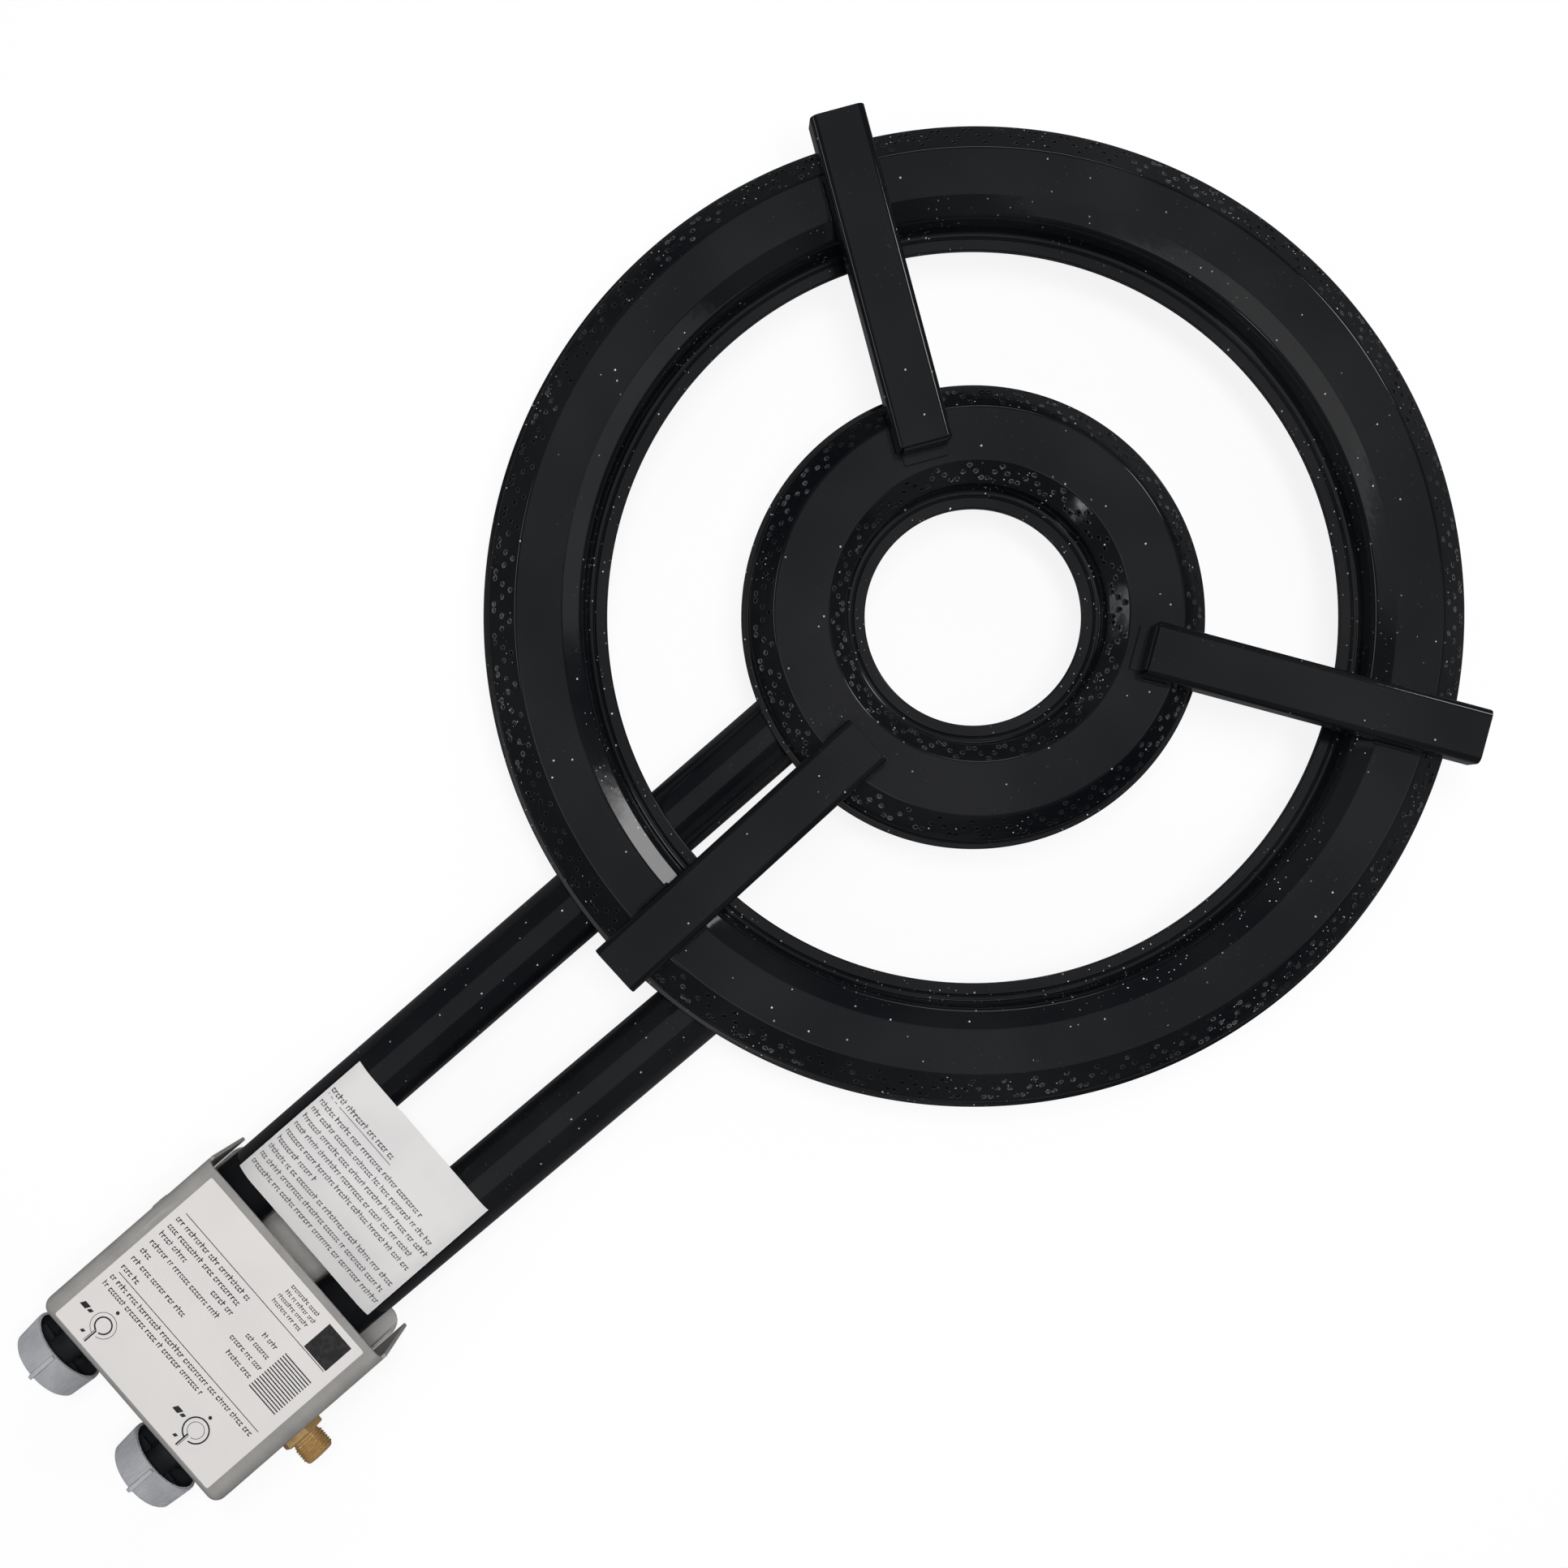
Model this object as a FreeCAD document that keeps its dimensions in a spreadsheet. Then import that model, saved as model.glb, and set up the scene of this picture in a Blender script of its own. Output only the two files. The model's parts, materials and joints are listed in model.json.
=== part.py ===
import FreeCAD, Part
import os
import re

import Sketcher

# Outdoor gas burner with two rings, seen from its front: the knobs point to -Y and the rings lie
# at +Y. All lengths are in millimetres and all angles in degrees. The origin is on the ground,
# under the middle of the whole burner.

SIZES = {
    # The two hollow rings, each a pressed top shell closed by a flat base plate
    "outer_ring_radius": 190.0,
    "inner_ring_radius": 90.0,
    "ring_width": 48.0,
    "ring_sheet": 1.2,
    "ring_height": 20.5,
    "ring_tube_gap": 0.5,
    "ring_lip": 3.0,
    "ring_flange": 6.5,
    "ring_wall_lean": 4.5,
    "bevel_run": 9.5,
    "bevel_drop": 9.5,
    "centre_bevel_run": 7.5,
    "centre_bevel_drop": 7.5,
    # The gas ports
    "port_width": 2.4,
    "outer_port_count": 36,
    "inner_port_count": 16,
    "centre_port_count": 10,
    # The three channels that carry the pan and tie the rings together
    "arm_width": 21.0,
    "arm_height": 12.0,
    "arm_sheet": 2.0,
    "arm_bend": 3.0,
    "arm_setback": 25.0,
    "arm_overhang": 3.0,
    "arm_foot": 5.0,
    "right_arm_angle": 34.0,
    "right_arm_shift": 1.8,
    "left_arm_angle": 154.0,
    "left_arm_shift": 4.9,
    "handle_arm_angle": 271.4,
    "handle_arm_shift": 7.3,
    # The two mixing tubes and the short risers that feed the rings
    "tube_radius": 14.0,
    "tube_wall": 1.5,
    "tube_axis_height": 21.0,
    "inner_tube_across": -17.4,
    "tube_spacing": 58.2,
    "tube_splay": 3.4,
    "tube_mouth_setback": 58.0,
    "riser_radius": 9.0,
    "riser_wall": 1.5,
    "riser_reach": 3.0,
    "riser_clearance": 0.25,
    # The sheet housing round the taps
    "handle_reach": 253.9,
    "housing_left_margin": 18.2,
    "housing_right_margin": 25.6,
    "housing_depth": 85.4,
    "housing_height": 50.0,
    "housing_sheet": 1.5,
    "housing_bend": 5.0,
    "cover_top_corner": 3.5,
    "base_clearance": 0.3,
    "base_flange": 10.5,
    "base_overhang": 2.9,
    # The cradle that the tubes lie in inside the housing
    "cradle_setback": 68.0,
    "cradle_sheet": 2.0,
    "cradle_height": 17.0,
    "cradle_foot": 14.0,
    "cradle_side_gap": 3.0,
    "cradle_clearance": 0.2,
    # Hexagon-head screws
    "screw_head_width": 7.0,
    "screw_head_height": 2.4,
    "screw_shank_width": 3.4,
    "screw_length": 7.0,
    "screw_clearance": 0.3,
    "screw_inset": 46.0,
    "screw_height": 6.0,
    # The two gas taps
    "tap_block_width": 22.0,
    "tap_block_front": 12.0,
    "tap_block_rear": 50.0,
    "tap_cross_setback": 33.8,
    "tap_boss_width": 13.0,
    "tap_boss_reach": 15.0,
    "link_pipe_radius": 5.0,
    "plug_radius": 6.4,
    "plug_front_setback": 21.0,
    "plug_rear_setback": 44.0,
    "plug_clearance": 0.05,
    "slot_width": 3.0,
    "slot_depth": 8.8,
    "neck_radius": 6.5,
    "neck_reach": 6.0,
    "panel_hole_clearance": 0.3,
    "spindle_radius": 3.2,
    "spindle_clearance": 0.05,
    "spindle_reach": 22.0,
    "spindle_flat": 2.3,
    "spindle_flat_length": 11.0,
    "collar_width": 9.4,
    "collar_thickness": 2.0,
    "collar_gap": 0.1,
    "tang_width": 2.6,
    "tang_length": 6.0,
    "push_travel": 2.5,
    "push_clearance": 0.5,
    "spring_wire": 0.9,
    "spring_radius": 4.8,
    "panel_nut_width": 17.0,
    "panel_nut_height": 4.0,
    "thread_clearance": 0.1,
    "injector_width": 9.0,
    "injector_head": 4.0,
    "injector_tip_radius": 3.2,
    "injector_tip_length": 6.0,
    "injector_jet_radius": 0.5,
    # The gas inlet on the right side
    "inlet_collar_width": 16.4,
    "inlet_collar_length": 4.5,
    "inlet_thread_radius": 6.58,
    "inlet_thread_length": 9.7,
    "inlet_neck_radius": 6.0,
    "inlet_bore_radius": 4.0,
    "inlet_nut_width": 17.0,
    "inlet_nut_height": 3.5,
    # The knobs
    "knob_radius": 16.75,
    "knob_face_radius": 14.2,
    "knob_face_drop": 2.0,
    "knob_length": 13.0,
    "knob_gap": 13.0,
    "knob_wall": 1.9,
    "knob_hub_radius": 6.0,
    "knob_hub_setback": 4.0,
    "knob_socket_clearance": 0.06,
    "pointer_width": 2.2,
    "pointer_height": 0.9,
    "nib_length": 1.6,
    "nib_height": 5.0,
    # The paper sheet of instructions on the tubes
    "paper_thickness": 0.3,
    "paper_setback": 88.1,
    "paper_length": 62.2,
    "paper_left_reach": 9.5,
    "paper_right_reach": 6.5,
    "paper_gap": 0.3,
    # The cutters run past what they cut by this much
    "overrun": 2.0,
}

# Sizes that follow from the ones above
DERIVED = {
    "outer_ring_hole_radius": "outer_ring_radius - ring_width",
    "inner_ring_hole_radius": "inner_ring_radius - ring_width",
    "ring_underside": "tube_axis_height + tube_radius + ring_tube_gap",
    "ring_floor": "ring_underside + ring_sheet",
    "ring_top": "ring_underside + ring_height",
    "arm_top": "ring_top + arm_height",
    "arm_inner_end": "inner_ring_radius - arm_setback",
    "arm_outer_end": "outer_ring_radius + arm_overhang",
    "housing_front": "outer_ring_radius + handle_reach",
    "front_reach": "housing_front + knob_gap + knob_length + nib_length",
    "ring_axis_y": "(front_reach - outer_ring_radius) / 2",
    "panel_y": "ring_axis_y - housing_front",
    "outer_tube_across": "inner_tube_across + tube_spacing",
    "housing_width": "housing_left_margin + tube_spacing + housing_right_margin",
    "housing_across": "inner_tube_across - housing_left_margin + housing_width / 2",
    "mouth_distance": "housing_front - tube_mouth_setback",
    "inner_feed_radius": "(inner_ring_hole_radius + ring_flange + inner_ring_radius - ring_lip) / 2",
    "outer_feed_radius": "(outer_ring_hole_radius + ring_flange + outer_ring_radius - ring_lip) / 2",
    "outer_feed_across": "outer_tube_across + tube_splay",
    "inner_feed_distance": "sqrt(inner_feed_radius ^ 2 - inner_tube_across ^ 2)",
    "outer_feed_distance": "sqrt(outer_feed_radius ^ 2 - outer_feed_across ^ 2)",
    "inner_tube_run": "mouth_distance - inner_feed_distance",
    "outer_tube_run": "sqrt((mouth_distance - outer_feed_distance) ^ 2 + tube_splay ^ 2)",
    "riser_top": "ring_floor + riser_reach",
    "paper_far_run": "paper_setback + paper_length - tube_mouth_setback",
    "splay_share": "tube_splay / (mouth_distance - outer_feed_distance)",
    "paper_right_across": "outer_tube_across + splay_share * paper_far_run",
    "screw_hole_radius": "(screw_shank_width / 2 + screw_clearance) / cos(30 deg)",
    "neck_hole_radius": "neck_radius + panel_hole_clearance",
    "inlet_hole_radius": "inlet_neck_radius + panel_hole_clearance",
    "base_half_width": "housing_width / 2 - housing_sheet - base_clearance",
    "base_front": "housing_sheet + base_clearance",
    "base_corner": "housing_bend + (sqrt(2) - 2) * base_front",
    "base_rear": "housing_depth + base_overhang",
    "bend_gain": "housing_sheet * (sqrt(2) - 1)",
    "housing_right": "housing_across + housing_width / 2",
    "collar_front": "-(tap_block_front + collar_gap)",
    "collar_rear": "collar_front - collar_thickness",
    "plug_front": "-plug_front_setback",
    "stem_rear": "push_travel + push_clearance - plug_front_setback",
    "plug_rear": "-plug_rear_setback",
    "injector_seat": "-tap_block_rear",
    "knob_rear": "knob_gap",
    "knob_front": "knob_gap + knob_length",
    "hub_rear": "knob_gap - knob_hub_setback",
    "flat_start": "spindle_reach - spindle_flat_length",
}

UP = FreeCAD.Vector(0, 0, 1)
ALONG_X = FreeCAD.Vector(1, 0, 0)
ALONG_Y = FreeCAD.Vector(0, 1, 0)
# A piece turned about X so that its own Z points to the front, or back to the rings
TO_FRONT = FreeCAD.Rotation(ALONG_X, 90)
TO_RINGS = FreeCAD.Rotation(ALONG_X, -90)
# A primitive turned so that its own Z runs along X
TO_RIGHT = FreeCAD.Rotation(ALONG_Y, 90)
TOLERANCE = 1e-4
# Small hidden pipes and the holes of nuts are kept to this many flat sides
PIPE_SIDES = 12
SCREW_SIDES = 6
KNOB_SIDES = 36

doc = FreeCAD.newDocument("burner")
sheet = doc.addObject("Spreadsheet::Sheet", "Sizes")
nodes = []


def fill_sheet():
    for row, (alias, number) in enumerate(SIZES.items(), start=1):
        cell = "B%d" % row
        sheet.set("A%d" % row, alias)
        sheet.set(cell, str(number))
        sheet.setAlias(cell, alias)
    doc.recompute()


def bound(text):
    """The formula with its names turned into references to the sheet."""

    def refer(match):
        word = match.group(0)
        if word in DERIVED:
            return "(" + bound(DERIVED[word]) + ")"
        if word in SIZES:
            return "Sizes." + word
        return word

    return re.sub(r"[a-z_]+", refer, str(text))


def value(text):
    """The number that a formula gives at the present sizes."""
    result = sheet.evalExpression(bound(text))
    return float(getattr(result, "Value", result))


def tie(thing, path, text):
    thing.setExpression(path, bound(text))


def place(thing, across, along, height, turn=None):
    """Put a piece at a point of the burner's frame, along being its Y."""
    if turn is not None:
        thing.Placement = FreeCAD.Placement(FreeCAD.Vector(), turn)
    tie(thing, "Placement.Base.x", across)
    tie(thing, "Placement.Base.y", along)
    tie(thing, "Placement.Base.z", height)


def keep(thing, label):
    """Name a finished piece, which makes it a node of the burner."""
    thing.Label = label
    nodes.append(thing)
    return thing


def origin_part(body, role):
    return next(part for part in body.Origin.OriginFeatures if part.Role == role)


def new_sketch(body, role, name, lift="0"):
    """A sketch on one of the body's own planes, lifted off it along its normal."""
    sketch = body.newObject("Sketcher::SketchObject", name)
    sketch.AttachmentSupport = [(origin_part(body, role), "")]
    sketch.MapMode = "FlatFace"
    tie(sketch, "AttachmentOffset.Base.z", lift)
    return sketch


def tie_point(sketch, geometry, corner, across, up):
    """Hold one point of the sketch at a place given by two formulas."""
    for kind, text in (("DistanceX", across), ("DistanceY", up)):
        constraint = Sketcher.Constraint(kind, -1, 1, geometry, corner, value(text))
        number = sketch.addConstraint(constraint)
        tie(sketch, "Constraints[%d]" % number, text)


def draw_outline(sketch, corners):
    """A closed outline of straight runs through corners given as pairs of formulas."""
    points = [FreeCAD.Vector(value(across), value(up), 0) for across, up in corners]
    first = sketch.GeometryCount
    count = len(points)
    for index, point in enumerate(points):
        sketch.addGeometry(Part.LineSegment(point, points[(index + 1) % count]), False)
    for index in range(count):
        follower = first + (index + 1) % count
        sketch.addConstraint(Sketcher.Constraint("Coincident", first + index, 2, follower, 1))
    for index, (across, up) in enumerate(corners):
        tie_point(sketch, first + index, 1, across, up)
    return sketch


def draw_polygon(sketch, sides, radius, across="0", up="0"):
    """A regular polygon, its corners on a circle of that radius about the given point."""
    corners = []
    for side in range(sides):
        turn = 360.0 * side / sides
        corners.append((
            "%s + %s * cos(%g deg)" % (across, radius, turn),
            "%s + %s * sin(%g deg)" % (up, radius, turn),
        ))
    return draw_outline(sketch, corners)


def draw_circle(sketch, across, up, radius):
    centre = FreeCAD.Vector(value(across), value(up), 0)
    number = sketch.addGeometry(Part.Circle(centre, UP, value(radius)), False)
    limit = sketch.addConstraint(Sketcher.Constraint("Radius", number, value(radius)))
    tie(sketch, "Constraints[%d]" % limit, radius)
    tie_point(sketch, number, 3, across, up)
    return sketch


def new_body(label):
    body = doc.addObject("PartDesign::Body", label + "_body")
    return keep(body, label)


def finish_feature(body, feature):
    doc.recompute()
    body.Tip = feature
    return feature


def revolve(body, corners, name="profile"):
    """Turn a closed outline of radii and heights round the body's own Z."""
    sketch = draw_outline(new_sketch(body, "XZ_Plane", name), corners)
    feature = body.newObject("PartDesign::Revolution", name + "_turned")
    feature.Profile = sketch
    feature.ReferenceAxis = (sketch, ["V_Axis"])
    feature.Angle = 360.0
    return finish_feature(body, feature)


def pad(body, sketch, length, both_ways=False, backwards=False):
    feature = body.newObject("PartDesign::Pad", sketch.Name + "_pad")
    feature.Profile = sketch
    if both_ways:
        feature.SideType = "Symmetric"
    feature.Reversed = backwards
    tie(feature, "Length", length)
    return finish_feature(body, feature)


def pocket(body, sketch, depth):
    """Cut the sketch back into the body, and make sure that something was cut."""
    before = body.Tip.Shape.Volume
    feature = body.newObject("PartDesign::Pocket", sketch.Name + "_cut")
    feature.Profile = sketch
    tie(feature, "Length", depth)
    finish_feature(body, feature)
    if feature.Shape.Volume >= before - TOLERANCE:
        raise RuntimeError("%s cut nothing" % feature.Name)
    return feature


def repeat_round(body, feature, count):
    """Repeat a feature round the body's own Z."""
    pattern = body.newObject("PartDesign::PolarPattern", feature.Name + "_round")
    pattern.Originals = [feature]
    pattern.Axis = (origin_part(body, "Z_Axis"), [""])
    pattern.Angle = 360.0
    tie(pattern, "Occurrences", count)
    return finish_feature(body, pattern)


def round_edges(body, radius, wanted):
    """Round the straight edges whose middle point passes the test."""
    base = body.Tip
    names = []
    for number, edge in enumerate(base.Shape.Edges, start=1):
        middle = edge.valueAt((edge.FirstParameter + edge.LastParameter) / 2)
        if edge.Curve.TypeId == "Part::GeomLine" and wanted(middle, edge.tangentAt(edge.FirstParameter)):
            names.append("Edge%d" % number)
    feature = body.newObject("PartDesign::Fillet", body.Name + "_bends")
    feature.Base = (base, names)
    tie(feature, "Radius", radius)
    return finish_feature(body, feature)


def near(number, text):
    return abs(number - value(text)) < TOLERANCE


def primitive(kind, name, sizes, at=("0", "0", "0"), turn=None):
    """One of the plain solids, with each size and its place tied to a formula."""
    solid = doc.addObject("Part::" + kind, name)
    for path, text in sizes.items():
        tie(solid, path, text)
    place(solid, at[0], at[1], at[2], turn)
    return solid


def cylinder(name, radius, length, at=("0", "0", "0"), turn=None):
    return primitive("Cylinder", name, {"Radius": radius, "Height": length}, at, turn)


def bar(name, sides, radius, height, at=("0", "0", "0"), turn=None):
    """A bar with flat sides, radius being out to its corners. Small round pieces are kept to it."""
    solid = primitive("Prism", name, {"Circumradius": radius, "Height": height}, at, turn)
    solid.Polygon = sides
    return solid


def hexagon(name, width, height, at=("0", "0", "0"), turn=None):
    """A hexagonal bar, width being across its flats."""
    return bar(name, 6, "%s / 2 / cos(30 deg)" % width, height, at, turn)


def box(name, width, depth, height, at, turn=None):
    return primitive("Box", name, {"Length": width, "Width": depth, "Height": height}, at, turn)


def fuse(name, solids):
    union = doc.addObject("Part::MultiFuse", name)
    union.Shapes = solids
    doc.recompute()
    return union


def cut(name, base, tools):
    tool = tools[0] if len(tools) == 1 else fuse(name + "_tools", tools)
    result = doc.addObject("Part::Cut", name)
    result.Base = base
    result.Tool = tool
    doc.recompute()
    return result


# The rings


def bevel_ports(body, name, foot, run, drop, outwards, count):
    """One row of ports through a sloping face whose foot is at the given radius.

    Each port is turned through its own width, so that its sides follow the face.
    """
    sign = "-" if outwards else "+"
    run_share = "port_width / 2 / sqrt(%s ^ 2 + %s ^ 2)" % (run, drop)
    middle = "%s %s %s / 2" % (foot, sign, run)
    low = "%s %s %s * (%s)" % (middle, "+" if outwards else "-", run, run_share)
    high = "%s %s %s * (%s)" % (middle, sign, run, run_share)
    height = "ring_top - %s / 2" % drop
    rise = "%s * (%s)" % (drop, run_share)
    over = "overrun * %s / sqrt(%s ^ 2 + %s ^ 2)" % (drop, run, drop)
    lift = "overrun * %s / sqrt(%s ^ 2 + %s ^ 2)" % (run, run, drop)
    out, into = ("+", "-") if outwards else ("-", "+")
    sketch = new_sketch(body, "XZ_Plane", name)
    draw_outline(sketch, [
        ("%s %s %s" % (low, out, over), "%s - %s + %s" % (height, rise, lift)),
        ("%s %s %s" % (high, out, over), "%s + %s + %s" % (height, rise, lift)),
        ("%s %s %s" % (high, into, over), "%s + %s - %s" % (height, rise, lift)),
        ("%s %s %s" % (low, into, over), "%s - %s - %s" % (height, rise, lift)),
    ])
    before = body.Tip.Shape.Volume
    groove = body.newObject("PartDesign::Groove", name + "_first")
    groove.Profile = sketch
    groove.ReferenceAxis = (sketch, ["V_Axis"])
    tie(groove, "Angle", "port_width / (%s) * 1 rad" % middle)
    finish_feature(body, groove)
    if groove.Shape.Volume >= before - TOLERANCE:
        raise RuntimeError("%s cut nothing" % name)
    return repeat_round(body, groove, count)


def outer_ring_top_shell():
    body = new_body("outer_ring_top_shell")
    wall_foot = "outer_ring_hole_radius + ring_flange"
    wall_head = wall_foot + " + ring_wall_lean"
    rim = "outer_ring_radius - ring_lip"
    revolve(body, [
        (wall_foot, "ring_floor"),
        (wall_foot + " + ring_sheet", "ring_floor"),
        (wall_head + " + ring_sheet", "ring_top - ring_sheet"),
        (rim + " - bevel_run - ring_sheet / 2", "ring_top - ring_sheet"),
        (rim + " - ring_sheet", "ring_top - bevel_drop - ring_sheet / 2"),
        (rim + " - ring_sheet", "ring_floor"),
        (rim, "ring_floor"),
        (rim, "ring_top - bevel_drop"),
        (rim + " - bevel_run", "ring_top"),
        (wall_head, "ring_top"),
    ])
    bevel_ports(body, "outer_ports", rim, "bevel_run", "bevel_drop", True, "outer_port_count")
    place(body, "0", "ring_axis_y", "0")


def inner_ring_top_shell():
    body = new_body("inner_ring_top_shell")
    wall = "inner_ring_hole_radius + ring_flange"
    centre_foot = "ring_top - centre_bevel_drop"
    rim = "inner_ring_radius - ring_lip"
    revolve(body, [
        (wall, "ring_floor"),
        (wall + " + ring_sheet", "ring_floor"),
        (wall + " + ring_sheet", centre_foot + " - ring_sheet / 2"),
        (wall + " + centre_bevel_run + ring_sheet / 2", "ring_top - ring_sheet"),
        (rim + " - bevel_run - ring_sheet / 2", "ring_top - ring_sheet"),
        (rim + " - ring_sheet", "ring_top - bevel_drop - ring_sheet / 2"),
        (rim + " - ring_sheet", "ring_floor"),
        (rim, "ring_floor"),
        (rim, "ring_top - bevel_drop"),
        (rim + " - bevel_run", "ring_top"),
        (wall + " + centre_bevel_run", "ring_top"),
        (wall, centre_foot),
    ])
    bevel_ports(body, "inner_ports", rim, "bevel_run", "bevel_drop", True, "inner_port_count")
    bevel_ports(
        body, "centre_ports", wall, "centre_bevel_run", "centre_bevel_drop",
        False, "centre_port_count",
    )
    place(body, "0", "ring_axis_y", "0")


def ring_base_plate(ring):
    """The flat plate that closes a ring from below, with the hole for its riser."""
    body = new_body(ring + "_ring_base_plate")
    sketch = new_sketch(body, "XY_Plane", ring + "_plate", "ring_underside")
    draw_circle(sketch, "0", "0", ring + "_ring_radius")
    draw_circle(sketch, "0", "0", ring + "_ring_hole_radius")
    pad(body, sketch, "ring_sheet")
    across = "inner_tube_across" if ring == "inner" else "outer_feed_across"
    hole = new_sketch(body, "XY_Plane", ring + "_riser_hole", "ring_floor + overrun")
    draw_polygon(hole, PIPE_SIDES, "(riser_radius + riser_clearance)", across, "-%s_feed_distance" % ring)
    pocket(body, hole, "2 * overrun + ring_sheet")
    place(body, "0", "ring_axis_y", "0")


# The pan supports


def support_arm(side):
    """An upturned channel that lies across both rings, its inner end closed by a foot."""
    body = new_body(side + "_support_arm")
    shift = side + "_arm_shift"
    half = "arm_width / 2"
    inside = "(arm_width / 2 - arm_sheet)"
    section = new_sketch(body, "YZ_Plane", side + "_channel", "arm_inner_end")
    draw_outline(section, [
        (shift + " - " + half, "ring_top"),
        (shift + " - " + inside, "ring_top"),
        (shift + " - " + inside, "arm_top - arm_sheet"),
        (shift + " + " + inside, "arm_top - arm_sheet"),
        (shift + " + " + inside, "ring_top"),
        (shift + " + " + half, "ring_top"),
        (shift + " + " + half, "arm_top"),
        (shift + " - " + half, "arm_top"),
    ])
    pad(body, section, "arm_outer_end - arm_inner_end")

    def outer_bend(point, direction):
        at_side = abs(abs(point.y - value(shift)) - value(half)) < TOLERANCE
        return abs(direction.x) > 0.99 and near(point.z, "arm_top") and at_side

    round_edges(body, "arm_bend", outer_bend)
    foot = new_sketch(body, "XZ_Plane", side + "_foot", "-" + shift)
    draw_outline(foot, [
        ("arm_inner_end - arm_foot", "ring_top"),
        ("arm_inner_end + arm_sheet", "ring_top"),
        ("arm_inner_end + arm_sheet", "arm_top - arm_sheet"),
        ("arm_inner_end", "arm_top - arm_sheet"),
        ("arm_inner_end", "ring_top + arm_sheet"),
        ("arm_inner_end - arm_foot", "ring_top + arm_sheet"),
    ])
    pad(body, foot, "arm_width - 2 * arm_sheet", both_ways=True)
    place(body, "0", "ring_axis_y", "0", FreeCAD.Rotation(UP, value(side + "_arm_angle")))


# The mixing tubes and what holds them


def mixing_tube(ring):
    """A tube with a closed end and a riser, its own Z running from the mouth to the ring."""
    body = new_body(ring + "_mixing_tube")
    run = ring + "_tube_run"
    length = run + " + tube_radius"
    outside = new_sketch(body, "XY_Plane", ring + "_tube_outside")
    draw_circle(outside, "0", "0", "tube_radius")
    pad(body, outside, length)
    riser = new_sketch(body, "XZ_Plane", ring + "_riser_outside")
    draw_polygon(riser, PIPE_SIDES, "riser_radius", "0", run)
    pad(body, riser, "riser_top - tube_axis_height")
    inside = new_sketch(body, "XY_Plane", ring + "_tube_inside", length + " - tube_wall")
    draw_circle(inside, "0", "0", "tube_radius - tube_wall")
    pocket(body, inside, length + " - tube_wall")
    bore = new_sketch(body, "XZ_Plane", ring + "_riser_inside", "riser_top - tube_axis_height")
    draw_polygon(bore, PIPE_SIDES, "(riser_radius - riser_wall)", "0", run)
    pocket(body, bore, "riser_top - tube_axis_height")
    turn = TO_RINGS
    if ring == "outer":
        splay = value("atan(splay_share)")
        turn = FreeCAD.Rotation(UP, -splay).multiply(TO_RINGS)
    place(body, ring + "_tube_across", "ring_axis_y - mouth_distance", "tube_axis_height", turn)


def tube_cradle():
    """The cross plate in the housing that both tubes lie in, with its foot on the base."""
    body = new_body("tube_cradle")
    side = new_sketch(body, "YZ_Plane", "cradle_side")
    draw_outline(side, [
        ("cradle_setback", "housing_sheet"),
        ("cradle_setback - cradle_foot", "housing_sheet"),
        ("cradle_setback - cradle_foot", "housing_sheet + cradle_sheet"),
        ("cradle_setback - cradle_sheet", "housing_sheet + cradle_sheet"),
        ("cradle_setback - cradle_sheet", "cradle_height"),
        ("cradle_setback", "cradle_height"),
    ])
    pad(body, side, "2 * (base_half_width - housing_sheet - cradle_side_gap)", both_ways=True)
    holes = new_sketch(body, "XZ_Plane", "tube_holes", "-(cradle_setback - cradle_sheet - overrun)")
    for tube in ("inner", "outer"):
        centre = tube + "_tube_across - housing_across"
        draw_circle(holes, centre, "tube_axis_height", "tube_radius + cradle_clearance")
    pocket(body, holes, "cradle_sheet + 2 * overrun")
    screws = new_sketch(body, "XY_Plane", "cradle_screw_hole", "housing_sheet + cradle_sheet + overrun")
    draw_polygon(screws, SCREW_SIDES, "screw_hole_radius", "0", "cradle_setback - cradle_foot / 2")
    pocket(body, screws, "cradle_sheet + 2 * overrun")
    place(body, "housing_across", "panel_y", "0")


# The housing


def cover_plan(name, height, inset, corner, back):
    """One level of the cover, drawn in from its sides and front, with flat front corners."""
    plan = doc.addObject("Sketcher::SketchObject", name)
    left = "-housing_width / 2"
    right = "housing_width / 2"
    draw_outline(plan, [
        ("%s + %s" % (left, inset), back),
        ("%s + %s" % (left, inset), corner),
        ("%s + %s" % (left, corner), inset),
        ("%s - (%s)" % (right, corner), inset),
        ("%s - (%s)" % (right, inset), corner),
        ("%s - (%s)" % (right, inset), back),
    ])
    place(plan, "0", "0", height)
    return plan


def hood(name, foot, inset, bend, back):
    """The shape of the cover's outside or inside, its bends kept to flats."""
    levels = [
        cover_plan(name + "_foot", foot, inset, bend, back),
        cover_plan(name + "_shoulder", "housing_height - (%s)" % bend, inset, bend, back),
        cover_plan(name + "_top", "housing_height - " + inset, bend, bend + " + cover_top_corner", back),
    ]
    solid = doc.addObject("Part::Loft", name)
    solid.Sections = levels
    solid.Solid = True
    solid.Ruled = True
    doc.recompute()
    return solid


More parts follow.
